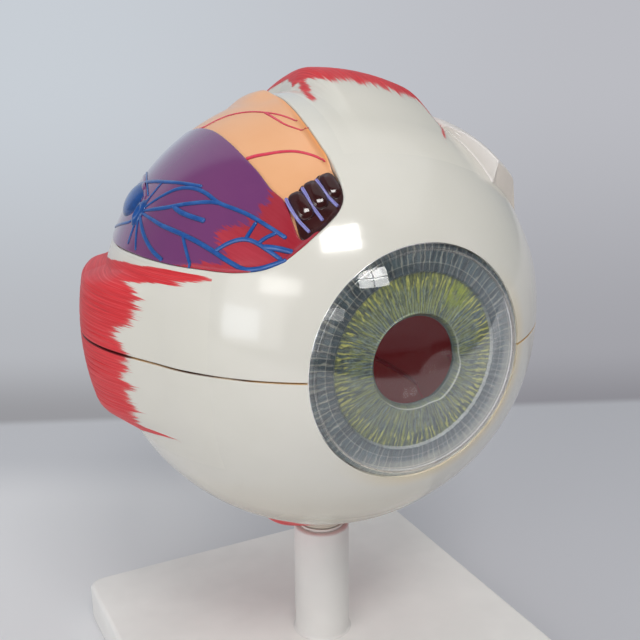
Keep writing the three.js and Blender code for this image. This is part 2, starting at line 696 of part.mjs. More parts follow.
// Hollow base plate: walls, cross ribs and a boss with the post's socket
function basePlate() {
  const half = BASE_SIDE / 2;
  const square = (side, corner) => {
    const shape = new THREE.Shape();
    const reach = side - corner;
    shape.absarc(reach, reach, corner, 0, Math.PI / 2);
    shape.absarc(-reach, reach, corner, Math.PI / 2, Math.PI);
    shape.absarc(-reach, -reach, corner, Math.PI, 1.5 * Math.PI);
    shape.absarc(reach, -reach, corner, 1.5 * Math.PI, 2 * Math.PI);
    return shape;
  };
  const outside = new THREE.ExtrudeGeometry(square(half - BASE_EDGE, BASE_CORNER - BASE_EDGE), {
    depth: BASE_THICKNESS, bevelEnabled: true, bevelSize: BASE_EDGE, bevelThickness: BASE_EDGE,
    bevelSegments: 2, curveSegments: 3,
  }).translate(0, 0, -BASE_EDGE);
  const inside = new THREE.ExtrudeGeometry(square(half - BASE_WALL, BASE_CORNER - BASE_EDGE), {
    depth: BASE_THICKNESS - BASE_WALL + 1, bevelEnabled: false, curveSegments: 3,
  }).translate(0, 0, -1);
  const ribHeight = BASE_THICKNESS - BASE_WALL / 2;
  const socket = SPIGOT_RADIUS + FIT;
  return solid(outside)
    .subtract(solid(inside))
    .subtract(box(FAR, FAR, FAR, [0, 0, -FAR / 2]))
    .add(box(BASE_SIDE - BASE_WALL, BASE_RIB, ribHeight, [0, 0, ribHeight / 2]))
    .add(box(BASE_RIB, BASE_SIDE - BASE_WALL, ribHeight, [0, 0, ribHeight / 2]))
    .add(bar(BOSS_RADIUS, BOSS_RADIUS, 0, ribHeight))
    .subtract(bar(socket, socket, BASE_THICKNESS - SPIGOT_LENGTH - FIT, BASE_THICKNESS + 1));
}

function standPost() {
  const hole = PIN_RADIUS + FIT;
  const chamfer = 0.6;
  const sides = 24;
  return bar(POST_RADIUS, POST_RADIUS, BASE_THICKNESS + FIT, POST_TOP - chamfer, sides)
    .add(bar(POST_RADIUS, POST_RADIUS - chamfer, POST_TOP - chamfer, POST_TOP, sides))
    .add(bar(SPIGOT_RADIUS, SPIGOT_RADIUS, BASE_THICKNESS - SPIGOT_LENGTH, BASE_THICKNESS + 1))
    .subtract(bar(hole, hole, POST_TOP - PIN_IN_POST - FIT, POST_TOP + 1));
}

function swivelPin() {
  const top = GLOBE_HEIGHT + NECK_ROOF - BORE_ROOF - FIT;
  const chamfer = 0.8;
  return bar(PIN_RADIUS, PIN_RADIUS, POST_TOP - PIN_IN_POST, top - chamfer)
    .add(bar(PIN_RADIUS, PIN_RADIUS - chamfer, top - chamfer, top));
}

function swivelBush() {
  const top = NECK_ROOF - BORE_ROOF - FIT;
  const hole = PIN_RADIUS + FIT;
  return bar(BUSH_RADIUS, BUSH_RADIUS, NECK_BOTTOM, top).subtract(bar(hole, hole, -FAR, 0));
}

function swivelWasher() {
  const hole = PIN_RADIUS + FIT;
  return bar(NECK_RADIUS, NECK_RADIUS, POST_TOP + FIT, POST_TOP + FIT + WASHER_THICKNESS)
    .subtract(bar(hole, hole, 0, FAR));
}

function seamPeg(angle) {
  const chamfer = 0.3;
  const half = PEG_LENGTH / 2;
  const [x, y] = pegPlace(angle);
  return bar(PEG_RADIUS, PEG_RADIUS, -half, half - chamfer, 8)
    .add(bar(PEG_RADIUS, PEG_RADIUS - chamfer, half - chamfer, half, 8))
    .translate(x, y, 0);
}

const FINISHES = {
  ivory: { color: 0xdad8cf, roughness: 0.18, metalness: 0 },
  standWhite: { color: 0xd6d4ce, roughness: 0.45, metalness: 0 },
  clear: { color: 0xe8eef0, roughness: 0.04, metalness: 0, transparent: true, opacity: 0.3 },
  irisBlue: { color: 0x5d7570, roughness: 0.3, metalness: 0 },
  choroidPurple: { color: 0x6e3e73, roughness: 0.25, metalness: 0 },
  retinaPeach: { color: 0xebb487, roughness: 0.35, metalness: 0 },
  ciliaryBrown: { color: 0x321616, roughness: 0.15, metalness: 0 },
  veinBlue: { color: 0x1e5aa5, roughness: 0.25, metalness: 0 },
  muscleRed: { color: 0xcd3c41, roughness: 0.4, metalness: 0 },
  nerveYellow: { color: 0xe6c96e, roughness: 0.4, metalness: 0 },
  steel: { color: 0xb9bcc0, roughness: 0.25, metalness: 1 },
  nylon: { color: 0xe4e2dc, roughness: 0.5, metalness: 0 },
};

function piece(name, shape, finish) {
  const mesh = new THREE.Mesh(geometryOf(shape), new THREE.MeshStandardMaterial(FINISHES[finish]));
  mesh.name = name;
  return mesh;
}

const stand = new THREE.Group();
stand.add(
  piece('base_plate', basePlate(), 'standWhite'),
  piece('stand_post', standPost(), 'standWhite'),
  piece('swivel_pin', swivelPin(), 'steel'),
  piece('swivel_washer', swivelWasher(), 'nylon'),
);

const globe = new THREE.Group();
globe.position.z = GLOBE_HEIGHT;
globe.add(
  piece('sclera_lower', scleraLower(), 'ivory'),
  piece('swivel_bush', swivelBush(), 'nylon'),
  piece('choroid_lower', choroidLower(), 'choroidPurple'),
  piece('retina_lower', retinaLower(), 'retinaPeach'),
  piece('ciliary_body_lower', lowerHalf(ciliaryRing()), 'ciliaryBrown'),
  piece('inferior_rectus', inferiorRectus(), 'muscleRed'),
  piece('lateral_rectus_lower', lowerHalf(rectus(LATERAL)), 'muscleRed'),
  piece('medial_rectus_lower', lowerHalf(rectus(MEDIAL)), 'muscleRed'),
  piece('inferior_oblique', strap(INFERIOR_OBLIQUE), 'ivory'),
  piece('optic_nerve', opticNerve(), 'nerveYellow'),
  piece('nerve_sheath_lower', lowerHalf(nerveSheath()), 'ivory'),
  piece('sclera_upper', scleraUpper(), 'ivory'),
  piece('choroid_upper', choroidUpper(), 'choroidPurple'),
  piece('retina_upper', retinaUpper(), 'retinaPeach'),
  piece('ciliary_body_upper', upperHalf(ciliaryRing()), 'ciliaryBrown'),
  piece('ciliary_lobes', ciliaryLobes(), 'ciliaryBrown'),
  piece('vortex_veins', vortexVeins(), 'veinBlue'),
  piece('superior_rectus', rectus(SUPERIOR), 'muscleRed'),
  piece('lateral_rectus_upper', upperHalf(rectus(LATERAL)), 'muscleRed'),
  piece('medial_rectus_upper', upperHalf(rectus(MEDIAL)), 'muscleRed'),
  piece('superior_oblique', strap(SUPERIOR_OBLIQUE), 'ivory'),
  piece('nerve_sheath_upper', upperHalf(nerveSheath()), 'ivory'),
  piece('cornea', cornea(), 'clear'),
  piece('iris', iris(), 'irisBlue'),
  piece('lens', lens(), 'clear'),
  piece('zonule', zonule(), 'clear'),
  piece('vitreous_body', vitreous(), 'clear'),
);
PEG_ANGLES.forEach((angle, i) => globe.add(piece(`seam_peg_${i + 1}`, seamPeg(angle), 'nylon')));

const eyeModel = new THREE.Group();
eyeModel.add(stand, globe);

export default eyeModel;
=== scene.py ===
"""Enlarged eye on a stand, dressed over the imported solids."""

import math

import bmesh
import bpy
import numpy as np
from bpy.props import FloatProperty, FloatVectorProperty, PointerProperty
from mathutils import Matrix, Vector


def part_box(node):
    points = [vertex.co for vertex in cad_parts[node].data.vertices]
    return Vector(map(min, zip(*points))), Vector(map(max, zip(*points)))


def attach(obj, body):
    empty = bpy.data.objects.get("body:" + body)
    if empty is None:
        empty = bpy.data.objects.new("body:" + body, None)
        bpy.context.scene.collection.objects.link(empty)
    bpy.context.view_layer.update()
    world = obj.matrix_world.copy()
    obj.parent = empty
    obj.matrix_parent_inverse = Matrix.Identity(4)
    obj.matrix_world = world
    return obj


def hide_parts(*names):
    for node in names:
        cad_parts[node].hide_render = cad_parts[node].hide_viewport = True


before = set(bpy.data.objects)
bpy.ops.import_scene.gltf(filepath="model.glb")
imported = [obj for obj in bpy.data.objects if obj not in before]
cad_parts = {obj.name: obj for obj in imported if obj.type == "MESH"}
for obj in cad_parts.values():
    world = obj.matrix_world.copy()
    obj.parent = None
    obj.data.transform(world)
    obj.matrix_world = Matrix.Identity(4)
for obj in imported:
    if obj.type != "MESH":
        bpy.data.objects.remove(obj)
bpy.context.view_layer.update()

bl_info = {
    "name": "Eye Anatomy Model",
    "version": (1, 0, 0),
    "blender": (4, 5, 0),
    "location": "View3D > Sidebar > Eye Model",
    "description": "Surfaces and finishes of an enlarged teaching eye that opens in two halves",
    "category": "Add Mesh",
}

MM = 0.001
UP = np.array([0, 0, 1.0])
HALVES = ((1, "upper"), (-1, "lower"))


def box_mm(node):
    """Lowest and highest corner of a solid, in millimetres."""
    low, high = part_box(node)
    return np.array(low) / MM, np.array(high) / MM


# Sizes in millimetres about the globe's centre. Names in _U, LEDGE_BACK, IRIS_FACE, LENS_FRONT and
# LENS_BACK are distances ahead of it along the optical axis, which is -Y. Angles are in degrees:
# theta off that axis, phi round it from the top. DEGREE is the length of one on the globe.
GLOBE = round(float(box_mm("sclera_lower")[1][0]), 2)
CENTRE = round(float(box_mm("sclera_upper")[1][2]) - GLOBE, 2)
GAP = 0.3
SCLERA_INNER = GLOBE - 3.8
DEGREE = math.radians(GLOBE)
LAYER_WALL = 2.0
CHOROID = (SCLERA_INNER - GAP, SCLERA_INNER - GAP - LAYER_WALL)
RETINA = (CHOROID[1] - GAP, CHOROID[1] - GAP - LAYER_WALL)
SEAM = 0.15

# Base plate: half its width, and its height
PLATE_HALF, PLATE_TALL = 74.0, 15.0

# Front opening, and the ledge in it that carries the iris and the cornea
LIMBUS = 36.4
LIMBUS_U = math.sqrt(GLOBE**2 - LIMBUS**2)
LEDGE_U = LIMBUS_U - 4.0
LEDGE_BACK = LEDGE_U - 3.0
LEDGE_RADIUS = 31.0
IRIS_FACE = LEDGE_U + 1.9
IRIS_RIM = LIMBUS - GAP

# Lens: radius, rise of its front cap, planes of its front and back rim, depth of its back cap
LENS_RIM = 26.0
LENS_RISE = 8.0
LENS_FRONT = LEDGE_U - 1.2 - LENS_RISE
LENS_BACK = LENS_FRONT - 3.0
LENS_DEPTH = 12.0

# Radii of the layers' raised fields at the window's front
LAND_CHOROID = GLOBE - 1.4
LAND_RETINA = GLOBE - 2.3

# The nerve leaves the back on the nasal side of the axis, through a hole in each wall
NERVE_TURN = math.radians(15.0)
NERVE_AXIS = np.array([math.sin(NERVE_TURN), math.cos(NERVE_TURN), 0])
NERVE_SIDE = np.array([math.cos(NERVE_TURN), -math.sin(NERVE_TURN), 0])
NERVE_HOLE = 6.8
LAYER_HOLE = 7.0
NERVE_REACH = GLOBE + 26
BACK_START = 135.0

# Paint value of a place on the choroid that is far behind the red
FAR_FROM_RED = -30.0

# The photo's view, in degrees, and its level directions: away from the camera and to the right
VIEW_TURN, VIEW_TILT, VIEW_ROLL = 26.57, 17.57, -0.55
SIGHT = (math.sin(math.radians(VIEW_TURN)), math.cos(math.radians(VIEW_TURN)))
RIGHT = (SIGHT[1], -SIGHT[0])

# The window's edge as [theta, phi], round the temple side of the upper half
WINDOW = [
    (99.6, -11.4), (92, -10.9), (80.2, -12.6), (70.1, -14.4), (60.4, -15.9), (54, -16.8),
    (47.9, -18.7), (44.3, -21), (42.2, -25.4), (41.4, -31.3), (41.3, -37.4), (41.6, -43),
    (42.8, -49.5), (45.6, -54.8), (49.5, -58.4), (54, -60.9), (60.8, -63.2), (66.5, -64.7),
    (73.5, -65.9), (81.1, -66.7), (91, -67.3), (101.2, -67.2), (110.5, -65.2), (118.6, -60.6),
    (124.8, -53), (128, -43.5), (128, -33.5), (124.4, -23.6), (117.6, -16), (109, -12.6),
]
# The choroid's cut edge: below it the choroid shows, above it the retina
CUT = [(36, -33), (41.5, -34), (42.1, -37.9), (43.5, -39.9), (47.5, -37.4), (52.3, -34.5), (57.5, -34.3),
       (63.1, -33.1), (69.4, -32.3), (78.5, -31.3), (87.3, -30.8), (95, -31.2), (103, -32.2), (111, -33.6),
       (120, -34.5), (130, -34.5)]
# Where the purple gives way to red, as [phi, theta]
RED_FRONT = [(-30, 57), (-34.5, 57.2), (-37, 55.6), (-40, 56.2), (-43, 54.2), (-46, 54.8), (-49, 58.6),
             (-52, 60.6), (-54.5, 59), (-57, 55), (-59, 56), (-61, 60), (-63.5, 64.9), (-66, 68.8),
             (-69.9, 71.6)]

# Veins, vessels and ribs as lines of [theta, phi], the first two with half widths in millimetres
VEIN_HUB = (88.4, -57.2)
VEINS = [
    (1.0, [(103, -51.6), (96.5, -50.4), (90.1, -49.1), (85.5, -48.1), (79.2, -46.4), (72.4, -44.5)]),
    (0.75, [VEIN_HUB, (87.3, -52.1), (86.5, -48.4)]),
    (1.05, [VEIN_HUB, (82.7, -51.3), (78.8, -47.9), (74.5, -46), (70.2, -45.4), (65.2, -45.6),
            (60.4, -44.6), (56.2, -43.7), (50.1, -43), (45.7, -42.5)]),
    (1.1, [VEIN_HUB, (82.3, -54.9), (78.3, -53.1), (73, -50), (67.8, -46.9), (64.4, -45.3)]),
    (1.3, [(76.8, -52.2), (73.5, -52.5), (69.9, -52.2), (65.1, -51.3)]),
    (1.2, [VEIN_HUB, (81.5, -57.4), (76.5, -57.5), (69, -57), (63.6, -56.8), (58.2, -57), (52.7, -57.4),
           (49.3, -57), (46.4, -54.6), (44, -51), (42.4, -48)]),
    (0.9, [(68.8, -57.2), (66.9, -59), (64.6, -61.2), (62.2, -63.6)]),
    (1.15, [VEIN_HUB, (85.3, -59.3), (81.2, -61.7), (75.9, -63.9), (71.1, -64.9)]),
    (0.8, [VEIN_HUB, (85, -62.2), (82.3, -65.8)]),
    (0.8, [VEIN_HUB, (87.7, -61.4), (87, -65.5)]),
    (0.9, [VEIN_HUB, (90.8, -60.2), (96.5, -62), (105.5, -64)]),
    (1.05, [(58.6, -57), (56.4, -53), (54, -50.2), (51.4, -49), (47.6, -48.8), (43.4, -48.9)]),
    (0.95, [(53.4, -50), (53.6, -47), (53.9, -44)]),
    (0.95, [(50.3, -49), (49.7, -46.4), (48.4, -43)]),
    (1.35, [(49, -48.9), (46, -46.8), (42.5, -44.7)]),
]
ARTERIES = [
    (0.62, [(103, -33.4), (98, -32), (94.3, -30.4), (92.7, -27), (90.8, -24.3), (88.1, -22), (85.1, -20.1),
            (82.3, -18.6), (78.6, -16.8), (74.7, -15.4), (72, -14.8)]),
    (0.5, [(82.3, -18.6), (76.8, -18.3), (72.8, -17.7), (69, -16), (66.6, -14.9)]),
    (0.78, [(69.8, -32.3), (68.3, -29.6), (67.1, -27.8), (64.6, -23.7), (62.4, -21), (59.5, -18.7),
            (57.4, -17.6), (55.6, -17.4)]),
]
RIDGES = [
    [(52.6, -33.8), (50, -35.0), (46.5, -35.9), (42.9, -36.2)],
    [(52.3, -28.3), (50.4, -28.8), (46.8, -29.7), (43.0, -30.3)],
    [(52.1, -23.6), (50, -23.8), (46.8, -23.8), (43.8, -23.3)],
]
# Back end, front end and half width of each lobe
LOBES = [
    ((50.8, -31.6), (47.3, -32.7), 2.75),
    ((50.9, -26.0), (47.3, -27.0), 2.75),
    ((50.8, -20.8), (47.6, -21.3), 2.6),
]
# Back edge of the lobes' ground, one arc beside the next, as [phi, theta]
LOBE_ARCS = [(-36, 51.4), (-34.2, 52.2), (-33, 53), (-31.4, 52.9), (-30, 51.7), (-29.2, 52.8),
             (-27.6, 53.4), (-25.8, 52.9), (-24.4, 51.5), (-23.5, 52.9), (-21.6, 53.4), (-19.8, 53.1),
             (-18.4, 51.6)]


def rgb(red, green, blue):
    """A colour given in display steps of 0 to 255, as the linear colour that shaders take."""
    value = np.array([red, green, blue]) / 255
    return tuple(np.where(value <= 0.04045, value / 12.92, ((value + 0.055) / 1.055) ** 2.4))


def tinted(colour, *shares):
    """A colour times a share for each channel, or one share for all three, and at most 1."""
    shares = shares * 3 if len(shares) == 1 else shares
    return tuple(min(channel * share, 1.0) for channel, share in zip(colour, shares))


# Shapes


def smooth(value, low, high):
    """0 at low, 1 at high and a soft S between them: t * t * (3 - 2 t). Low may be the greater."""
    t = np.clip((value - low) / (high - low), 0, 1)
    return t * t * (3 - 2 * t)


def unit(theta, phi):
    """Directions from the globe's centre: theta off the optical axis -Y, phi round it from the top."""
    t, p = np.broadcast_arrays(np.radians(theta), np.radians(phi))
    return np.stack([np.sin(t) * np.sin(p), -np.cos(t), np.sin(t) * np.cos(p)], -1)


def about_axis(radius, angle, ahead):
    """Points round the optical axis: a radius from it, an angle from the top, a way ahead."""
    radius, angle, ahead = np.broadcast_arrays(radius, angle, ahead)
    return np.stack([radius * np.sin(angle), -ahead, radius * np.cos(angle)], -1)


def about_nerve(radius, angle, out):
    """The same round the nerve's line, counted outwards along it."""
    radius, angle, out = (part[..., None] for part in np.broadcast_arrays(radius, angle, out))
    return radius * np.sin(angle) * NERVE_SIDE + out * NERVE_AXIS + radius * np.cos(angle) * UP


def about_post(radius, angle, height):
    """The same round the stand's upright, counted upwards."""
    radius, angle, height = np.broadcast_arrays(radius, angle, height)
    return np.stack([radius * np.sin(angle), radius * np.cos(angle), height], -1)


def half_turn(half, steps):
    """Angles from the top round the upper or the lower half, as a column."""
    start = -90 if half > 0 else 90
    return np.radians(np.linspace(start, start + 180, steps + 1))[:, None]


def cut_ring(radius, angle, along, half, about=about_axis):
    """A half ring whose two ends lie on the cut plane."""
    points = about(radius, angle, along)
    points[[0, -1], :, 2] = 0
    return parted(points, half)


def cubic(a, b, c, d, t):
    """Catmull-Rom: the cubic from b to c whose slope at each is half the way between its neighbours."""
    return 0.5 * (2 * b + (c - a) * t + (2 * a - 5 * b + 4 * c - d) * t**2 + (3 * b - a - 3 * c + d) * t**3)


def spline(points, count):
    """A smooth line through the points, with the same number of samples between each two."""
    p = np.asarray(points, float)
    p = np.vstack([2 * p[0] - p[1], p, 2 * p[-1] - p[-2]])
    at = np.linspace(0, len(p) - 3 - 1e-9, count)
    i = at.astype(int)
    return cubic(p[i], p[i + 1], p[i + 2], p[i + 3], (at % 1)[:, None])


def loop(points, count):
    """The same line, closed on itself."""
    p = np.asarray(points, float)
    n = len(p)
    at = np.linspace(0, n, count, endpoint=False)
    i = at.astype(int)
    return cubic(p[(i - 1) % n], p[i % n], p[(i + 1) % n], p[(i + 2) % n], (at % 1)[:, None])


def half_globe(theta, phi, hole):
    """Directions over a half globe. Up to BACK_START they follow meridians; behind it each
    meridian bends along a great circle to the rim of the nerve's round hole, so there is no pole.
    The hole is given as the angle between its rim and the nerve's line."""
    theta, phi = np.broadcast_arrays(np.asarray(theta, float), np.asarray(phi, float))
    straight = unit(theta, phi)
    p, h = np.radians(phi)[..., None], math.radians(hole)
    rim = math.cos(h) * NERVE_AXIS + math.sin(h) * (np.sin(p) * NERVE_SIDE + np.cos(p) * UP)
    start = unit(np.minimum(theta, BACK_START), phi)
    w = np.clip((theta - BACK_START) / (180 - BACK_START), 0, 1)[..., None]
    angle = np.arccos(np.clip((start * rim).sum(-1, keepdims=True), -1, 1))
    bent = (np.sin((1 - w) * angle) * start + np.sin(w * angle) * rim) / np.sin(angle)
    return np.where(w > 0, bent, straight)


def parted(points, half):
    """Opens the seam: the half's points move from the cut plane by SEAM, and those further
    off by less, so the top and the bottom stay in place."""
    out = np.array(points, float)
    out[..., 2] += half * SEAM * (1 - np.abs(out[..., 2]) / GLOBE)
    return out


def seam_round(points, radius=0.35):
    """Rounds the edge at the cut plane: within the radius of it, a point is drawn in by the
    depth of a quarter circle."""
    z = np.minimum(np.abs(points[..., 2:3]), radius)
    depth = radius - np.sqrt(np.maximum(radius**2 - (radius - z) ** 2, 0))
    size = np.linalg.norm(points, axis=-1, keepdims=True)
    scaled = points * (1 - depth / size)
    scaled[..., 2] = points[..., 2]
    return scaled


def seam_rows(low, high, count):
    """Angles from low to high with a few close ones at both ends, for the rounded seam."""
    close = np.array([0, 0.05, 0.12, 0.22, 0.36, 0.6])
    return np.concatenate([low + close, np.linspace(low + 1.2, high - 1.2, count), high - close[::-1]])


def window_edge(count=720):
    """The window's edge as [theta, phi]."""
    return loop(WINDOW, count)


def window_span(theta, inset):
    """Lowest and highest phi of the window at each theta, drawn in by inset degrees."""
    edge = window_edge()
    front, back = edge[:, 0].argmin(), edge[:, 0].argmax()
    ring = np.roll(edge, -front, 0)
    cut = (back - front) % len(edge)
    one, two = ring[: cut + 1], ring[cut:]
    first = np.interp(theta, one[:, 0], one[:, 1])
    second = np.interp(theta, two[::-1, 0], two[::-1, 1])
    low, high = np.minimum(first, second), np.maximum(first, second)
    middle, half = (low + high) / 2, np.maximum((high - low) / 2 - inset, 0)
    return middle - half, middle + half


def window_reach(inset):
    """The window's least and greatest theta, drawn in by inset degrees."""
    edge = window_edge()[:, 0]
    return edge.min() + inset, edge.max() - inset


def cut_phi(theta):
    """Phi of the choroid's cut edge at each theta."""
    line = spline(CUT, 200)
    return np.interp(theta, line[:, 0], line[:, 1])


class Shape:
    """Points, quads, pattern coordinates and finishes gathered from grids."""

    def __init__(self):
        self.points, self.quads, self.uv, self.finish, self.paint, self.count = [], [], [], [], [], 0

    def grid(self, points, finish=0, round_rows=False, uv=None, paint=None):
        """Quads between the neighbours of an (n, m, 3) grid; rows may close on themselves."""
        n, m = points.shape[:2]
        rows = np.arange(n if round_rows else n - 1)[:, None]
        columns = np.arange(m - 1)[None, :]
        after = (rows + 1) % n
        quads = np.stack([rows * m + columns, after * m + columns, after * m + columns + 1,
                          rows * m + columns + 1], -1)
        if uv is None:
            u, v = np.meshgrid(np.linspace(0, 1, n), np.linspace(0, 1, m), indexing="ij")
            uv = np.stack([u, v], -1)
        self.points.append(points.reshape(-1, 3))
        self.uv.append(np.asarray(uv, float).reshape(-1, 2))
        self.paint.append(np.zeros(n * m) if paint is None else np.asarray(paint, float).reshape(-1))
        self.quads.append(quads.reshape(-1, 4) + self.count)
        self.finish.append(np.full(quads.size // 4, finish))
        self.count += n * m
        return self

    def thick(self, top, bottom, finish=0, below=None, last=None, uv=None, paint=None):
        """A closed sheet: a top grid, a bottom grid and the four strips that join their rims. The
        bottom and the strip at the last row can have a finish of their own."""
        below, last = (finish if look is None else look for look in (below, last))
        uv = np.zeros((*top.shape[:2], 2)) if uv is None else uv
        paint = np.zeros(top.shape[:2]) if paint is None else paint
        self.grid(top, finish, uv=uv, paint=paint)
        self.grid(bottom, below, uv=uv, paint=paint)
        for pick, look in ((0, finish), (-1, last), (np.s_[:, 0], finish), (np.s_[:, -1], finish)):
            rims, marks, tones = (np.stack(pair) for pair in (
                (top[pick], bottom[pick]), (uv[pick], uv[pick]), (paint[pick], paint[pick])))
            self.grid(rims, look, uv=marks, paint=tones)
        return self

    def turned(self, profile, steps=96, about=about_axis):
        """A profile of [radius, distance] points turned right round a line. Its uv is the share of
        the turn and of the profile."""
        profile = np.asarray(profile, float)
        angle = np.radians(np.linspace(0, 360, steps + 1))[:, None]
        return self.grid(about(profile[:, 0], angle, profile[:, 1]))

    def build(self, name, looks, body, slot, node=None, raised=True, edge=40.0):
        """Makes the object: welds the grids' shared rims, turns faces outwards and keeps edges
        sharper than the given angle crisp. looks names its finishes. It rides its body and stands
        for the given node."""
        points = np.concatenate(self.points) * MM
        if raised:
            points[:, 2] += CENTRE * MM
        quads = np.concatenate(self.quads).astype(np.int32)
        mesh = bpy.data.meshes.new(name)
        mesh.vertices.add(len(points))
        mesh.vertices.foreach_set("co", points.astype(np.float32).ravel())
        mesh.loops.add(quads.size)
        mesh.loops.foreach_set("vertex_index", quads.ravel())
        mesh.polygons.add(len(quads))
        mesh.polygons.foreach_set("loop_start", np.arange(0, quads.size, 4, dtype=np.int32))
        mesh.polygons.foreach_set("material_index", np.concatenate(self.finish).astype(np.int32))
        mesh.update(calc_edges=True)
        layer = mesh.uv_layers.new(name="UVMap")
        layer.data.foreach_set("uv", np.concatenate(self.uv)[quads.ravel()].astype(np.float32).ravel())
        paint = mesh.attributes.new("paint", "FLOAT", "POINT")
        paint.data.foreach_set("value", np.concatenate(self.paint).astype(np.float32))
        work = bmesh.new()
        work.from_mesh(mesh)
        bmesh.ops.remove_doubles(work, verts=work.verts, dist=2e-6)
        bmesh.ops.dissolve_degenerate(work, edges=work.edges, dist=1e-8)
        bmesh.ops.recalc_face_normals(work, faces=work.faces)
        work.to_mesh(mesh)
        work.free()
        mesh.shade_smooth()
        mesh.set_sharp_from_angle(angle=math.radians(edge))
        piece = bpy.data.objects.new(name, mesh)
        bpy.context.scene.collection.objects.link(piece)
        for look in looks.split():
            mesh.materials.append(finishes()[look])
        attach(piece, body)
        if node:
            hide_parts(node)
        return piece


def tube(shape, line, width, height, ground, sides=14, finish=0, taper=1.0, ends=(True, True),
         slim=1.0, paint=0.0):
    """A half-sunk tube along a line of [theta, phi] on a ball: each ring is an ellipse in the
    plane of the ball's normal and the line's side, drawn in to a point at its round ends. The
    ground gives the radius at theta and phi; slim is the share of the width at the start."""
    flat = spline(line, 14 * len(line))
    centre = unit(flat[:, 0], flat[:, 1])
    path = centre * ground(flat[:, 0], flat[:, 1])[:, None]
    tangent = np.gradient(path, axis=0)
    length = np.concatenate([[0], np.cumsum(np.linalg.norm(np.diff(path, axis=0), axis=1))])
    tangent /= np.linalg.norm(tangent, axis=1, keepdims=True)
    side = np.cross(tangent, centre)
    side /= np.linalg.norm(side, axis=1, keepdims=True)
    share = length / length[-1]
    size = (1 - (1 - taper) * share) * (slim + (1 - slim) * smooth(share, 0.0, 0.35))
    for end, near in zip(ends, (length, length[-1] - length)):
        if end:
            size = size * np.sqrt(np.clip(1 - (1 - np.clip(near / width, 0, 1)) ** 2, 0, 1))
    angle = np.linspace(0, 2 * np.pi, sides + 1)[None, :, None]
    ring = (path[:, None] + side[:, None] * (width * size)[:, None, None] * np.cos(angle)
            + centre[:, None] * (height * size)[:, None, None] * np.sin(angle))
    return shape.grid(ring, finish, paint=np.full(ring.shape[:2], paint))


# Finishes


class Nodes:
    """Nodes of a material or of the studio's air. Each method adds one node and gives its output."""

    def __init__(self, tree):
        self.tree = tree

    def _give(self, target, value):
        """Links a socket or sets a constant. One number fills a vector, and a colour gets alpha 1."""
        if isinstance(value, bpy.types.NodeSocket):
            self.tree.links.new(value, target)
        elif hasattr(target.default_value, "__len__") and not hasattr(value, "__len__"):
            target.default_value = (value,) * len(target.default_value)
        elif hasattr(value, "__len__") and len(target.default_value) == 4 and len(value) == 3:
            target.default_value = (*value, 1.0)
        else:
            target.default_value = value

    def node(self, kind, values=(), output=0, **settings):
        made = self.tree.nodes.new(kind)
        for key, value in settings.items():
            setattr(made, key, value)
        for key, value in dict(values).items():
            self._give(made.inputs[key], value)
        return made.outputs[output]

    def math(self, operation, *values):
        return self.node("ShaderNodeMath", dict(enumerate(values)), operation=operation)

    def _chain(self, operation, values):
        """The values taken together in turn by one operation."""
        total = values[0]
        for value in values[1:]:
            total = self.math(operation, total, value)
        return total

    def times(self, *values):
        return self._chain("MULTIPLY", values)

    def plus(self, *values):
        return self._chain("ADD", values)

    def minus(self, one, two):
        return self.math("SUBTRACT", one, two)

    def mix(self, share, one, two):
        return self.node("ShaderNodeMix", {0: share, 6: one, 7: two}, output=2, data_type="RGBA")

    def soft(self, value, low, high, out_low=0.0, out_high=1.0):
        """0 below low, 1 above high and a soft S between them, or two other values."""
        return self.node("ShaderNodeMapRange", {0: value, 1: low, 2: high, 3: out_low, 4: out_high},
                         interpolation_type="SMOOTHSTEP")

    def fall(self, value, low, high):
        """1 below low, 0 above high."""
        return self.soft(value, low, high, 1.0, 0.0)

    def noise(self, vector, scale=1.0, detail=2.0, roughness=0.5, distortion=0.0):
        return self.node("ShaderNodeTexNoise", {"Vector": vector, "Scale": scale, "Detail": detail,
                                                "Roughness": roughness, "Distortion": distortion})

    def place(self):
        return self.node("ShaderNodeTexCoord", output=3)

    def uv(self):
        return self.node("ShaderNodeTexCoord", output=2)

    def axes(self, vector):
        made = self.tree.nodes.new("ShaderNodeSeparateXYZ")
        self.tree.links.new(vector, made.inputs[0])
        return made.outputs

    def vector(self, x, y, z):
        return self.node("ShaderNodeCombineXYZ", {0: x, 1: y, 2: z})

    def scaled(self, vector, x, y, z):
        return self.node("ShaderNodeVectorMath", {0: vector, 1: (x, y, z)}, operation="MULTIPLY")

    def length(self, vector, point=(0.0, 0.0, 0.0)):
        """Distance from a point, the origin if none is given."""
        return self.node("ShaderNodeVectorMath", {0: vector, 1: point}, output=1, operation="DISTANCE")

    def along(self, x, y, way):
        """Distance along a level direction."""
        return self.plus(self.times(x, way[0]), self.times(y, way[1]))

    def attribute(self, name):
        return self.node("ShaderNodeAttribute", output=2, attribute_name=name)

    def bump(self, height, strength=0.3, distance=0.0003):
        return self.node("ShaderNodeBump", {"Height": height, "Strength": strength, "Distance": distance})


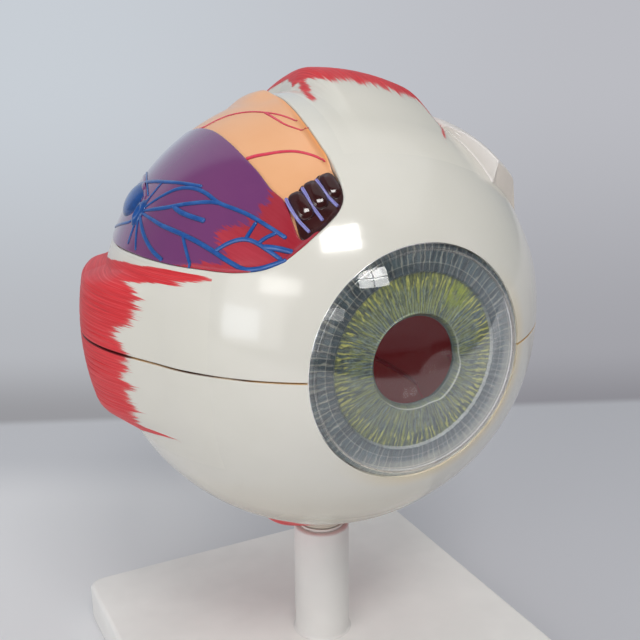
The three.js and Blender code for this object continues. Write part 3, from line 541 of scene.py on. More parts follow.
class Finish(Nodes):
    """A material under construction, round one Principled shader."""

    def __init__(self, name, **sockets):
        self.material = bpy.data.materials.new(name)
        self.material.use_nodes = True
        super().__init__(self.material.node_tree)
        self.shader = self.tree.nodes["Principled BSDF"]
        for key, value in sockets.items():
            self.set(key.replace("_", " "), value)

    def set(self, socket, value):
        """Puts a constant or another node's output on a socket of the shader."""
        names = {s.lower(): s for s in self.shader.inputs.keys()}
        self._give(self.shader.inputs[names[socket.lower()]], value)
        return self

    def done(self, colour, relief, strength, distance):
        """Sets the colour and the bump that goes with the relief, and gives the material."""
        self.set("base color", colour)
        return self.set("normal", self.bump(relief, strength, distance)).material

    def clouded(self, noise, colour, *shares):
        """A colour that drifts to a share of itself where the noise is high."""
        return self.mix(self.soft(noise, 0.3, 0.7), colour, tinted(colour, *shares))

    def strokes(self, along, across, seed, detail=3, rough=0.6, sway=0.0):
        """Brush marks: noise on the uv in millimetres, drawn out where the scale along u is small."""
        u, v, _ = self.axes(self.uv())
        flat = self.vector(self.times(u, along), self.times(v, across), seed)
        return self.noise(flat, 1.0, detail, rough, sway)

    def feathered(self, lead, *layers):
        """A distance ahead of a painted edge, made uneven by layers of (noise, reach)."""
        for noise, reach in layers:
            lead = self.plus(lead, self.times(self.minus(noise, 0.5), reach))
        return lead


def off_seam(finish, z):
    """Distance above or below the cut plane."""
    return finish.math("ABSOLUTE", finish.minus(z, CENTRE * MM))


def ivory_base(finish, colour):
    """Glossy moulded off-white: faint cloudy tone, a gold-brown line right at the seam that is
    darkest on the temple side, painted shade that makes the tone warmer and darker low down, and
    a painted yellow glow of light beside the lower rim of the clear front."""
    place = finish.place()
    x, y, z = finish.axes(place)
    cloud = finish.noise(place, 26, 3, 0.6)
    tone = finish.mix(finish.soft(cloud, 0.3, 0.75), colour, tinted(colour, 0.965, 0.968, 0.955))
    line = finish.fall(off_seam(finish, z), 0.00016, 0.00046)
    stain = finish.noise(finish.scaled(place, 1, 1, 0), 60, 2, 0.5)
    temple = finish.times(finish.soft(x, -0.070, -0.063), finish.fall(x, -0.053, -0.046))
    brown = finish.times(temple, finish.soft(stain, 0.3, 0.5))
    gold = finish.mix(brown, rgb(188, 140, 66), rgb(92, 44, 18))
    tone = finish.mix(finish.times(line, finish.soft(stain, 0.3, 0.62, 0.5, 0.95)), tone, gold)
    # Painted shade: warmer and darker towards the bottom of the globe
    low = finish.fall(z, 0.082, 0.113)
    tone = finish.mix(low, tone, tinted(colour, 0.83, 0.815, 0.745))
    # Painted light: a yellow glow beside the lower right of the clear dome's rim
    up = finish.minus(z, CENTRE * MM)
    near = finish.fall(finish.length(finish.vector(x, up, 0.0)), 0.0364, 0.0425)
    front = finish.fall(y, -0.068, -0.052)
    glow_side = finish.soft(finish.minus(x, up), -0.006, 0.045)
    return finish.mix(finish.times(near, front, glow_side, 0.5), tone, rgb(228, 202, 146))


def ivory_finish(colour):
    """The globe's off-white under a thin clear coat, with a slight ripple."""
    finish = Finish("glossy_ivory", roughness=0.16, IOR=1.5, coat_weight=0.35, coat_roughness=0.05)
    fine = finish.noise(finish.place(), 900)
    broad = finish.noise(finish.place(), 45)
    height = finish.plus(finish.times(fine, 0.12), broad)
    return finish.done(ivory_base(finish, colour), height, 0.10, 0.0006)


def lit_strap_finish(colour):
    """The tendons' white: the globe's off-white, a little paler as painted light, and without its gloss."""
    finish = Finish("satin_tendon_lit_white", roughness=0.38, IOR=1.4)
    fine = finish.noise(finish.place(), 900)
    return finish.done(ivory_base(finish, colour), fine, 0.06, 0.0004)


def stand_finish(name, colour):
    """Satin white with a fine grain, a shade lighter on the left than on the right: painted light."""
    finish = Finish(name, roughness=0.42, IOR=1.46)
    place = finish.place()
    x, y, _ = finish.axes(place)
    # Painted light: lighter on the left, darker on the right
    side = finish.soft(finish.along(x, y, RIGHT), -0.075, 0.02)
    base = finish.mix(side, tinted(colour, 1.03), tinted(colour, 0.97))
    cloud = finish.soft(finish.noise(place, 30, 3, 0.6), 0.3, 0.7)
    base = finish.mix(finish.times(cloud, 0.07), base, (0.0, 0.0, 0.0))
    return finish.done(base, finish.noise(place, 1500, 2, 0.6), 0.12, 0.0003)


def clear_finish(name, tint, roughness=0.015, ior=1.45):
    """Clear and polished, with a tint that hardly varies."""
    finish = Finish(name, roughness=roughness, IOR=ior, transmission_weight=1.0)
    cloud = finish.noise(finish.place(), 30)
    return finish.set("base color", finish.mix(cloud, tint, tinted(tint, 0.985))).material


def plain_finish(name, colour, roughness, vary=0.9, scale=120):
    """One colour, clouded towards a share of itself."""
    finish = Finish(name, roughness=roughness)
    cloud = finish.noise(finish.place(), scale, 3, 0.6)
    base = finish.clouded(cloud, colour, vary)
    return finish.done(base, cloud, 0.08, 0.0003)


def muscle_finish(ivory, red):
    """Red brushed over the moulded tendon. The paint attribute is the distance in millimetres
    behind the paint's front edge; brush marks feather that edge into hair-thin strokes and streak
    the red."""
    finish = Finish("brushed_muscle_red", IOR=1.42, coat_weight=0.02, coat_roughness=0.25)
    coarse = finish.strokes(0.05, 0.8, 0.0, sway=0.1)
    fine = finish.strokes(0.09, 2.6, 7.0, sway=0.1)
    hair = finish.strokes(0.12, 6.5, 13.0, 2, sway=0.1)
    lead = finish.feathered(finish.attribute("paint"), (coarse, 9.0), (fine, 11.0), (hair, 5.0))
    thin = finish.soft(finish.plus(lead, finish.times(hair, 4.0)), 0.6, 6.0, 0.78, 1.0)
    cover = finish.times(finish.soft(lead, -0.7, 1.5), thin)
    streak = finish.strokes(0.035, 1.5, 3.0, 4, 0.65, 0.1)
    tone = finish.mix(finish.soft(streak, 0.34, 0.66), tinted(red, 0.93, 0.7, 0.75),
                      tinted(red, 1.12, 1.25, 1.2))
    light = finish.soft(finish.strokes(0.03, 4.2, 21.0, 2, 0.5, 0.1), 0.575, 0.66)
    tone = finish.mix(finish.times(light, 0.6), tone, tinted(red, 1.2, 3.6, 3.2))
    dark = finish.soft(finish.strokes(0.03, 3.1, 33.0, 2, 0.5, 0.1), 0.58, 0.68)
    tone = finish.mix(finish.times(dark, 0.4), tone, tinted(red, 0.66, 0.5, 0.6))
    seam = finish.soft(off_seam(finish, finish.axes(finish.place())[2]), 0.0003, 0.0008, 0.9, 0.0)
    tone = finish.mix(seam, tone, rgb(66, 8, 14))
    finish.set("roughness", finish.soft(cover, 0, 1, 0.17, 0.46))
    relief = finish.times(finish.plus(streak, finish.times(fine, 0.8)), cover)
    return finish.done(finish.mix(cover, ivory_base(finish, ivory), tone), relief, 0.4, 0.0004)


def cut_finish(red):
    """Cut end of a muscle: round bundles of fibres parted by pale thin lines."""
    finish = Finish("cut_muscle_bundles", roughness=0.5, IOR=1.46)
    place = finish.place()
    bundle = finish.node("ShaderNodeTexVoronoi", {"Vector": place, "Scale": 520.0},
                         feature="DISTANCE_TO_EDGE")
    cloud = finish.soft(finish.noise(place, 300, 3, 0.6), 0.35, 0.65)
    base = finish.mix(cloud, tinted(red, 0.62), tinted(red, 0.9))
    base = finish.mix(finish.soft(bundle, 0.02, 0.12, 0.7, 0.0), base, rgb(224, 150, 146))
    return finish.done(base, finish.soft(bundle, 0.0, 0.3), 0.5, 0.0004)


def choroid_finish(purple, red):
    """Glossy purple that gives way to brushed red at the front and along the lower edge. The
    paint attribute is the distance in millimetres in front of the line where they meet."""
    finish = Finish("choroid_purple", roughness=0.17, IOR=1.52, coat_weight=0.85, coat_roughness=0.05)
    brush, fine, hair = (finish.strokes(0.1, 0.9, 0.0, 4), finish.strokes(0.16, 2.8, 5.0),
                         finish.strokes(0.2, 6.0, 9.0, 2))
    lead = finish.feathered(finish.attribute("paint"), (brush, 12.0), (fine, 9.0), (hair, 4.0))
    patch = finish.soft(finish.noise(finish.place(), 48, 3, 0.55), 0.3, 0.7)
    base = finish.mix(patch, purple, tinted(purple, 0.9, 0.84, 0.96))
    warm = finish.mix(finish.soft(brush, 0.32, 0.72), red, tinted(red, 1.1, 1.5, 1.35))
    # Painted shade: the red darkens towards the top of its band
    above = finish.soft(finish.axes(finish.uv())[1], -59, -50, 0.0, 0.45)
    warm = finish.mix(above, warm, tinted(red, 0.62, 0.4, 0.5))
    relief = finish.plus(finish.times(brush, 0.5), finish.noise(finish.place(), 300))
    return finish.done(finish.mix(finish.soft(lead, -0.5, 1.3), base, warm), relief, 0.05, 0.0005)


def retina_finish(peach):
    """Peach, stronger orange where the paint attribute says that it curls up to the window's edge."""
    finish = Finish("retina_peach", roughness=0.3, IOR=1.48, coat_weight=0.25, coat_roughness=0.1)
    place = finish.place()
    soft = finish.noise(place, 40, 3, 0.55)
    base = finish.clouded(soft, peach, 0.98, 0.92, 0.86)
    base = finish.mix(finish.times(finish.attribute("paint"), 0.7), base, rgb(246, 166, 94))
    return finish.done(base, finish.noise(place, 300), 0.04, 0.0004)


def fundus_finish(colour, glow):
    """The retina's inner face: orange red with a yellow disc round the nerve, and a painted glow
    that stands in for the light that comes through the pale wall."""
    # The emission is the painted glow
    finish = Finish("fundus_orange", roughness=0.5, IOR=1.48, emission_color=glow, emission_strength=1.0)
    place = finish.place()
    off = finish.length(place, tuple((NERVE_AXIS * RETINA[1] + UP * CENTRE) * MM))
    cloud = finish.noise(place, 45, 3, 0.55)
    base = finish.clouded(cloud, colour, 0.92, 0.8, 0.78)
    ring = finish.fall(finish.plus(off, finish.times(cloud, 0.004)), 0.010, 0.0135)
    return finish.done(finish.mix(ring, base, rgb(238, 214, 150)), cloud, 0.06, 0.0005)


def vein_finish(name, colour, light):
    """Painted tube, with a painted highlight along the crest and painted shade at its foot."""
    finish = Finish(name, roughness=0.2, IOR=1.5, coat_weight=0.3, coat_roughness=0.08)
    _, v, _ = finish.axes(finish.uv())
    crest = finish.math("SINE", finish.times(v, 2 * math.pi))
    drift = finish.noise(finish.place(), 260, 3, 0.6)
    level = finish.plus(crest, finish.times(finish.minus(drift, 0.5), 0.9))
    # Painted shade at the foot, and a painted highlight along the crest
    tone = finish.mix(finish.soft(level, 0.05, 1.0), tinted(colour, 0.5), colour)
    return finish.done(finish.mix(finish.soft(level, 0.85, 1.35, 0.0, 0.4), tone, light), drift, 0.18,
                       0.0004)


def ciliary_finish(colour):
    """Dark brown with warmer clouds, smooth enough for sharp glints."""
    finish = Finish("ciliary_brown", roughness=0.1, IOR=1.52, coat_weight=0.3, coat_roughness=0.03)
    place = finish.place()
    cloud = finish.soft(finish.noise(place, 160, 3, 0.6), 0.35, 0.75)
    return finish.done(finish.mix(cloud, colour, tinted(colour, 1.5)), finish.noise(place, 90),
                       0.12, 0.0006)


def ridge_finish(colour):
    """Pale violet rib with a darker line along its middle, painted shade of a thin groove."""
    finish = Finish("ridge_violet", roughness=0.25, IOR=1.5, coat_weight=0.3, coat_roughness=0.08)
    _, v, _ = finish.axes(finish.uv())
    # Painted shade: the dark line along the top stands in for a groove's shade
    crest = finish.math("ABSOLUTE", finish.minus(v, 0.25))
    line = finish.soft(crest, 0.02, 0.075, 0.75, 0.0)
    base = finish.mix(line, colour, rgb(92, 78, 150))
    return finish.done(base, finish.noise(finish.place(), 300), 0.15, 0.0004)


def iris_finish(colours):
    """Radial fibres in polar coordinates: u is the share of the turn, v the share of the radius.
    A line is a crest of sin(count * angle + sway), and the sway is noise read on a circle, so
    the pattern meets itself."""
    finish = Finish("iris_fibres", roughness=0.3, IOR=1.46, coat_weight=0.25, coat_roughness=0.12)
    times, soft, fall = finish.times, finish.soft, finish.fall
    u, v, _ = finish.axes(finish.uv())
    angle = times(u, 2 * math.pi)
    cosine, sine = finish.math("COSINE", angle), finish.math("SINE", angle)
    height, right = times(v, cosine), times(v, sine)

    def ringed(size, along, seed, detail=2.0, rough=0.5):
        depth = finish.plus(times(v, along), seed)
        return finish.noise(finish.vector(times(cosine, size), times(sine, size), depth), 1.0, detail,
                            rough)

    def crest(count, sway, reach, low, high):
        phase = finish.plus(times(angle, float(count)), times(finish.minus(sway, 0.5), reach))
        return soft(finish.math("SINE", phase), low, high)

    def band(low, high, fade):
        return times(soft(v, low - fade, low + fade), fall(v, high - fade, high + fade))

    def over(tone, share, colour, strength=1.0):
        return finish.mix(times(share, strength), tone, colour)

    # Ground and the pale rays of the outer ring, with the dark groove and pale line inside them
    dark, slate, lime, straw, cream = colours
    tone = finish.mix(soft(ringed(24, 4, 0, 3, 0.65), 0.36, 0.64), dark, slate)
    sway = ringed(15, 6, 10, 3, 0.55)
    rays = times(crest(104, sway, 10.0, 0.45, 0.98), soft(ringed(20, 2.5, 30), 0.34, 0.62, 0.25, 1.0))
    tone = over(tone, times(rays, soft(v, 0.752, 0.775)), cream, 0.64)
    tone = over(tone, band(0.762, 0.826, 0.006), tinted(dark, 0.6), 0.42)
    tone = over(tone, band(0.827, 0.834, 0.003), cream, 0.4)

    # Yellow-green combs of the inner ring, grey and dark threads between them
    inner = band(0.385, 0.742, 0.012)
    tone = over(tone, times(inner, soft(ringed(10, 8, 44, 3, 0.6), 0.38, 0.6)), lime, 0.4)
    cloud = times(band(0.40, 0.66, 0.03), soft(ringed(22, 20, 64, 3, 0.6), 0.46, 0.62))
    tone = over(tone, cloud, rgb(150, 166, 164), 0.4)
    bent = ringed(9, 5, 50, 3, 0.55)
    comb = times(crest(96, bent, 17.0, -0.1, 0.8), soft(ringed(11, 4, 70, 3, 0.6), 0.33, 0.6))
    tone = over(tone, times(comb, inner), lime, 0.82)
    tip = times(crest(96, bent, 17.0, 0.0, 0.75), band(0.625, 0.735, 0.02))
    tone = over(tone, times(tip, soft(ringed(24, 13, 90, 2), 0.38, 0.54)), straw, 0.85)
    grey = times(crest(141, ringed(14, 6, 150, 3), 14.0, 0.4, 0.95), band(0.39, 0.62, 0.03))
    tone = over(tone, grey, rgb(150, 168, 164), 0.32)
    tone = over(tone, times(inner, fall(height, -0.2, 0.35)), rgb(58, 74, 72), 0.3)
    tone = over(tone, times(inner, soft(height, 0.3, 0.55)), rgb(170, 180, 100), 0.16)
    shade = times(crest(121, ringed(16, 6, 110, 3), 16.0, 0.35, 0.95), band(0.39, 0.745, 0.01))
    tone = over(tone, shade, tinted(dark, 0.75), 0.55)

    # Stronger yellow-green patch at the upper right
    spot = finish.length(finish.vector(right, height, 0.0), (0.40, 0.50, 0.0))
    patch = times(fall(spot, 0.03, 0.17), soft(ringed(16, 9, 130, 3), 0.36, 0.58), inner)
    tone = over(tone, patch, rgb(140, 156, 18), 0.85)

    # Painted highlights towards the lower right on ring edges and rim steps, dark rims, specks
    slant = finish.minus(times(sine, 0.62), times(cosine, 0.78))
    lit = soft(slant, -0.25, 0.8)
    # Painted highlights: pale arcs on the step and the pupil's ring
    tone = over(tone, times(band(0.741, 0.758, 0.003), lit), rgb(206, 208, 204), 0.5)
    tone = over(tone, times(band(0.404, 0.413, 0.003), lit), rgb(214, 216, 208), 0.6)
    tone = over(tone, fall(v, 0.385, 0.402), rgb(52, 66, 56), 0.7)
    tone = over(tone, soft(v, 0.985, 0.998), tinted(dark, 0.4), 0.8)
    speck = times(band(0.40, 0.97, 0.01), soft(ringed(64, 60, 170, 2, 0.6), 0.5, 0.66))
    tone = over(tone, speck, tinted(dark, 0.6), 0.34)
    # Painted reflection: the outer band turns cream towards the lower right
    tone = over(tone, times(band(0.87, 0.985, 0.02), soft(slant, 0.1, 0.8)), rgb(196, 192, 178), 0.4)
    # Painted highlights: fine pale lines on the rim's steps, only towards the lower right
    steps = soft(finish.math("SINE", times(v, 2 * math.pi / 0.021)), 0.0, 0.8)
    rim = times(steps, band(0.915, 0.99, 0.006), soft(slant, 0.05, 0.75))
    tone = over(tone, rim, rgb(214, 208, 190), 0.85)

    # Painted shade at the upper left, and a painted veil of light at the lower right
    lit_veil = over(tone, soft(v, 0.74, 0.78, 0.07, 0.24), rgb(176, 184, 192))
    tone = finish.mix(soft(times(v, v, slant), -0.82, 0.7), over(tone, 0.34, rgb(14, 20, 22)), lit_veil)
    relief = finish.plus(ringed(24, 4, 0, 3, 0.65), times(rays, 0.5))
    return finish.done(tone, relief, 0.35, 0.0005)


def nerve_finish(colour):
    """Nerve core: bundled yellow fibres along its length, and on the cut end the red artery and
    the blue vein at its middle."""
    finish = Finish("nerve_yellow", roughness=0.4, IOR=1.46)
    u, v, _ = finish.axes(finish.uv())
    angle = finish.times(u, 2 * math.pi)
    across, up = (finish.times(finish.math(wave, angle), 9.0) for wave in ("COSINE", "SINE"))
    fibre = finish.noise(finish.vector(across, up, finish.times(v, 3.0)), 1.0, 3, 0.6)
    base = finish.mix(finish.soft(fibre, 0.35, 0.65), colour, tinted(colour, 0.85, 0.72, 0.5))
    place = finish.place()
    for offset, shade in ((-1.5, rgb(190, 40, 48)), (1.5, rgb(40, 84, 160))):
        spot = (NERVE_AXIS * NERVE_REACH + NERVE_SIDE * offset + UP * CENTRE) * MM
        off = finish.length(place, tuple(spot))
        base = finish.mix(finish.fall(off, 0.0009, 0.0012), base, shade)
    return finish.done(base, fibre, 0.35, 0.0006)


def steel_finish():
    """Steel with the fine rings that turning leaves."""
    finish = Finish("turned_steel", roughness=0.28, metallic=1.0)
    rings = finish.noise(finish.scaled(finish.place(), 20, 20, 2600), 1.0, 3, 0.6)
    return finish.done(finish.mix(rings, rgb(176, 178, 182), rgb(198, 200, 204)), rings, 0.12, 0.0002)


FINISHES = {}


def finishes():
    """All finishes of the model, made once."""
    if FINISHES:
        return FINISHES
    c = bpy.context.scene.eye_colours
    ivory, red, stand = tuple(c.ivory), tuple(c.muscle), tuple(c.stand)
    fibres = (rgb(36, 50, 56), rgb(78, 98, 104), rgb(156, 162, 64), rgb(206, 204, 104), rgb(190, 188, 172))
    FINISHES.update(
        ivory=ivory_finish(ivory),
        # The tendons' white is the ivory made paler: painted light
        strap=lit_strap_finish(tinted(ivory, 1.12, 1.1, 1.18)),
        stand=stand_finish("satin_plate_white", stand),
        # Painted shade: the post is the stand's white made darker
        post=stand_finish("satin_post_shaded_white", tinted(stand, 0.866)),
        clear=clear_finish("clear_cornea", (1.0, 1.0, 1.0)),
        lens=clear_finish("clear_lens", (0.98, 0.95, 0.94), 0.02, 1.16),
        vitreous=clear_finish("clear_vitreous", (0.99, 0.99, 0.99), 0.02, 1.03),
        cut=cut_finish(red),
        cut_white=plain_finish("cut_tendon_white", rgb(224, 214, 203), 0.4, 0.96, 90),
        muscle=muscle_finish(ivory, red),
        choroid=choroid_finish(tuple(c.choroid), tuple(c.choroid_red)),
        retina=retina_finish(tuple(c.retina)),
        # The fundus's second colour is its painted glow
        fundus=fundus_finish(rgb(134, 42, 40), rgb(66, 13, 15)),
        # The third colour of veins and arteries is their painted highlight
        vein=vein_finish("vein_blue", tuple(c.vein), rgb(84, 140, 200)),
        artery=vein_finish("artery_red", tuple(c.artery), rgb(240, 130, 140)),
        ciliary=ciliary_finish(tuple(c.ciliary)),
        ridge=ridge_finish(tuple(c.ridge)),
        iris=iris_finish(fibres),
        nerve=nerve_finish(rgb(232, 204, 120)),
        steel=steel_finish(),
        nylon=plain_finish("natural_nylon", rgb(226, 224, 216), 0.45, 0.94),
        threads=plain_finish("zonule_threads", rgb(222, 226, 222), 0.3, 0.9, 300),
    )
    return FINISHES


# Pieces


def opening_angle(radius):
    """Theta of the front opening on a ball of the given radius."""
    return math.degrees(math.asin(LIMBUS / radius))


def shell_half(outer, inner, front, hole, half, rows=90):
    """Top and bottom grids of a half globe's wall between two radii: theta runs from the front
    angle to the nerve's hole, phi across the half. front is one angle for both faces or a pair,
    and hole is the radius of the nerve's hole."""
    fronts = front if isinstance(front, tuple) else (front, front)
    phi = seam_rows(-90, 90, rows) + (0 if half > 0 else 180)
    grids = []
    for radius, begin in zip((outer, inner), fronts):
        theta = np.concatenate([begin + np.array([0, 0.12, 0.35, 0.8]), np.linspace(begin + 2, 180, 88)])
        points = half_globe(theta[:, None], phi[None, :], math.degrees(hole / outer)) * radius
        points[:, [0, -1], 2] = 0
        grids.append(parted(seam_round(points), half))
    return grids


def half_border(front):
    """The upper half's outline in the plane of theta and phi, from the front opening round."""
    sides = [
        np.stack([np.full(150, front), np.linspace(-90, 90, 150, endpoint=False)], 1),
        np.stack([np.linspace(front, 180, 150, endpoint=False), np.full(150, 90.0)], 1),
        np.stack([np.full(70, 180.0), np.linspace(90, -90, 70, endpoint=False)], 1),
        np.stack([np.linspace(180, front, 170, endpoint=False), np.full(170, -90.0)], 1),
    ]
    return np.concatenate(sides)


def window_crossings(middle, away):
    """Where rays from a middle point of the window cross its edge. Their ways are unit rows."""
    edge = window_edge(1440) - middle
    bearing = np.unwrap(np.arctan2(edge[:, 1], edge[:, 0]))
    order = np.argsort(bearing)
    bearing, reach = bearing[order], np.linalg.norm(edge, axis=1)[order]
    bearing = np.concatenate([bearing - 2 * np.pi, bearing, bearing + 2 * np.pi])
    turn = np.arctan2(away[:, 1], away[:, 0])
    return middle + away * np.interp(turn, bearing, np.tile(reach, 3))[:, None]


def wall_rows(length):
    """Shares along rays of the given lengths from the window's edge to the border, and the depth
    of each row below the globe's face: the window's rounded edge, an even run, and close rows for
    the rounded seam."""
    soft = bpy.context.scene.eye_sizes.window_round / MM
    bend = np.linspace(np.pi / 2, 0, 7)
    start = soft * (1 - np.sin(bend))[:, None] / length
    first = soft / length
    even = first + (1 - first - 1.1 / length) * np.linspace(0, 1, 62)[1:-1, None]
    close = 1 - np.array([1.1, 0.8, 0.55, 0.38, 0.24, 0.13, 0.05, 0.0])[:, None] / length
    share = np.concatenate([start, even, close])
    depth = soft * (1 - np.cos(bend))
    return share, np.concatenate([depth, np.zeros(len(share) - len(depth))])


def make_sclera_upper():
    """The upper wall round the window. In the plane of theta and phi, rays leave a middle point
    of the window; each crosses the window's edge and ends on the half's own border. Rows along
    the rays close over the outer face, the border, the inner face and the window's wall."""
    middle = np.array([84.0, -40.0])
    rim = half_border(opening_angle(GLOBE))
    away = rim - middle
    near = window_crossings(middle, away / np.linalg.norm(away, axis=1, keepdims=True))
    halfway = np.radians(np.clip((rim[:, 0] + near[:, 0]) / 2, 20, 160))
    scale = np.stack([np.full(len(rim), 1.0), np.sin(halfway)], 1)
    share, sunk = wall_rows(np.linalg.norm((rim - near) * scale, axis=1) * DEGREE)
    flat = near + (rim - near) * share[..., None]
    hole = math.degrees(NERVE_HOLE / GLOBE)
    outside = half_globe(flat[..., 0], flat[..., 1], hole) * (GLOBE - sunk)[:, None, None]
    inner_rim = half_border(opening_angle(SCLERA_INNER))
    back = near + (inner_rim - near) * np.linspace(1, 0, 26)[:, None, None]
    inside = half_globe(back[..., 0], back[..., 1], hole) * SCLERA_INNER
    grid = np.concatenate([outside, inside])
    flat_rim = np.abs(np.abs(np.concatenate([flat, back])[..., 1]) - 90) < 1e-6
    grid[..., 2] = np.where(flat_rim, 0, grid[..., 2])
    grid = parted(seam_round(grid), 1)
    shape = Shape().grid(np.concatenate([grid, grid[:, :1]], 1), round_rows=True)
    ledge(shape, 1)
    return shape.build("sclera_upper_wall", "ivory", "globe_upper", "ivory", "sclera_upper", edge=32)


def ledge(shape, half):
    """Half ring inside the front opening that carries the iris and the cornea."""
    wall = LIMBUS + 0.5
    back = math.sqrt(SCLERA_INNER**2 - (LIMBUS + 0.6) ** 2) - 1.2
    outer = cut_ring(np.array([wall, wall]), half_turn(half, 96), np.array([LEDGE_U, back]), half)
    face = np.array([LEDGE_RADIUS, LEDGE_RADIUS])
    shape.thick(outer, cut_ring(face, half_turn(half, 96), np.array([LEDGE_U, LEDGE_BACK]), half))


def make_sclera_lower():
    """The lower wall with its part of the ledge, and the neck by which the globe stands on the
    post: a profile turned about the upright, wider where it runs into the globe."""
    fronts = (opening_angle(GLOBE), opening_angle(SCLERA_INNER))
    shape = Shape().thick(*shell_half(GLOBE, SCLERA_INNER, fronts, NERVE_HOLE, -1, 110))
    ledge(shape, -1)
    shape.build("sclera_lower_wall", "ivory", "globe_lower", "ivory", "sclera_lower", edge=32)
    bore, foot, top = 6.3, -GLOBE - 8.4, -GLOBE + 2.4
    flare = [(8.6, -1.6), (9.0, -0.5), (9.8, 0.5), (11.4, 1.3)]
    profile = [(bore, foot), (8.2, foot), (8.6, foot + 0.4), *((r, up - GLOBE) for r, up in flare),
               (11.4, top), (bore, top), (bore, foot)]
    Shape().turned(profile, 72, about_post).build("sclera_neck", "ivory", "globe_lower", "ivory")


def make_layers():
    """Choroid and retina: two half walls each, and in the window the raised fields of both."""
    for half, name in HALVES:
        make_choroid(half, name)
        make_retina(half, name)


def make_choroid(half, name):
    """Half wall of the choroid, purple outside the window, and on the upper one its field."""
    top, bottom = shell_half(*CHOROID, 36, LAYER_HOLE, half, 70)
    shape = Shape().thick(top, bottom, paint=np.full(top.shape[:2], FAR_FROM_RED), uv=flat_uv(top))
    if half > 0:
        choroid_field(shape)
    shape.build(f"choroid_{name}_wall", "choroid", f"globe_{name}", "choroid",
                f"choroid_{name}", edge=32)


def make_retina(half, name):
    """Half wall of the retina with the vessels inside it, and on the upper one its field and the
    arteries that cross it."""
    shape = Shape().thick(*shell_half(*RETINA, 50, LAYER_HOLE, half, 70), below=1)
    if half > 0:
        retina_field(shape)
        for width, line in ARTERIES:
            tube(shape, line, width, 0.34 * width / 0.6, retina_level, 12, 2, 0.55)
    inner_vessels(shape, half)
    shape.build(f"retina_{name}_wall", "retina fundus artery vein",
                f"globe_{name}", "retina", f"retina_{name}", edge=32)


def flat_uv(points):
    """Distances in millimetres on the globe: along the meridian and round the axis."""
    r = np.linalg.norm(points, axis=-1)
    theta = np.arccos(np.clip(-points[..., 1] / r, -1, 1))
    phi = np.arctan2(points[..., 0], points[..., 2])
    return np.stack([theta * GLOBE, phi * GLOBE * 0.85], -1)


def field_rows(inset, count=150):
    """Thetas across the window, closer together at its round ends."""
    low, high = window_reach(inset)
    return (low + high) / 2 - (high - low) / 2 * np.cos(np.linspace(0, np.pi, count))


def edged(size, radius, bend=5, count=50):
    """Shares from 0 to 1 across a width in millimetres with quarter-round ends, and how far
    each lies below the top."""
    turn = np.linspace(0, np.pi / 2, bend + 1)
    run = radius * (1 - np.cos(turn))
    drop = radius * (1 - np.sin(turn))
    size = np.maximum(size, 2.2 * radius)[..., None]
    begin = run[None, :] / size
    middle = np.linspace(0, 1, count)[None, 1:-1] * (1 - 2 * radius / size) + radius / size
    share = np.concatenate([begin, middle, 1 - begin[:, ::-1]], -1)
    depth = np.concatenate([drop, np.zeros(count - 2), drop[::-1]])
    return share, depth


def window_gap(theta, phi):
    """Distance in millimetres from each place to the nearest point of the window's edge."""
    edge = unit(*window_edge(360).T)
    nearest = np.tensordot(unit(theta, phi), edge, axes=([-1], [-1])).max(-1)
    return GLOBE * np.arccos(np.clip(nearest, -1, 1))


def field_level(theta, phi, land, rise, curl):
    """Radius of a layer's raised field. It stands a step below the globe's face at the front,
    swells up to it towards the back, and curls up to it over the last 2 mm to the window's edge."""
    theta, phi = np.broadcast_arrays(np.asarray(theta, float), np.asarray(phi, float))
    level = land + rise * smooth(theta, 60, 98) * (1 - 0.7 * smooth(theta, 112, 126))
    near = (1 - smooth(window_gap(theta, phi), 0.2, 2.0)) ** 1.4
    return level + curl * np.maximum(GLOBE - 0.2 - level, 0) * near


def choroid_level(theta, phi):
    """Radius of the choroid's field."""
    return field_level(theta, phi, LAND_CHOROID, 1.75, 0.8)


def above_cut(theta, phi):
    """1 where the retina is laid bare, 0 where the choroid or the lobes cover it."""
    return smooth(phi - cut_phi(theta), 0.5, 4) * smooth(theta, 52.5, 57)


def retina_level(theta, phi):
    """The field, with a lip that swells 2 mm above the globe by the window's upper back edge."""
    gap = window_gap(theta, phi)
    lip = smooth(theta, 88, 97) * smooth(theta, 114, 105) * smooth(phi, -30, -16)
    lip = lip * smooth(gap, 11, 2) * smooth(gap, 0.0, 1.1)
    return field_level(theta, phi, LAND_RETINA - 0.02, 2.3, above_cut(theta, phi)) + 2.1 * lip


def choroid_field(shape):
    """Raised field of choroid in the window, from the window's lower edge to the cut edge."""
    theta = field_rows(0.08)
    low, high = window_span(theta, 0.08)
    high = np.minimum(high, np.maximum(cut_phi(theta), low + 0.01))
    size = (high - low) * DEGREE * np.sin(np.radians(theta))
    share, depth = edged(size, 0.45)
    phi = low[:, None] + (high - low)[:, None] * share
    way = unit(theta[:, None], phi)
    top = way * (choroid_level(theta[:, None], phi) - depth[None, :])[..., None]
    bottom = way * (LAND_RETINA - 0.25)
    red = np.array(RED_FRONT)[::-1]
    front = np.interp(phi, red[:, 0], red[:, 1])
    lead = (front - theta[:, None]) * DEGREE
    shape.thick(parted(top, 1), parted(bottom, 1), paint=lead, uv=flat_uv(top))


def retina_field(shape):
    """Field of retina that fills the window, a step below the choroid's."""
    theta = field_rows(0.2)
    low, high = window_span(theta, 0.2)
    share = 1 - np.linspace(1, 0, 90)[None, :] ** 1.5
    phi = low[:, None] + (high - low)[:, None] * share
    way = unit(theta[:, None], phi)
    edge = (1 - smooth(window_gap(theta[:, None], phi), 0.4, 1.5)) * above_cut(theta[:, None], phi)
    top = way * retina_level(theta[:, None], phi)[..., None]
    shape.thick(parted(top, 1), parted(way * (CHOROID[0] + 0.1), 1), paint=edge)


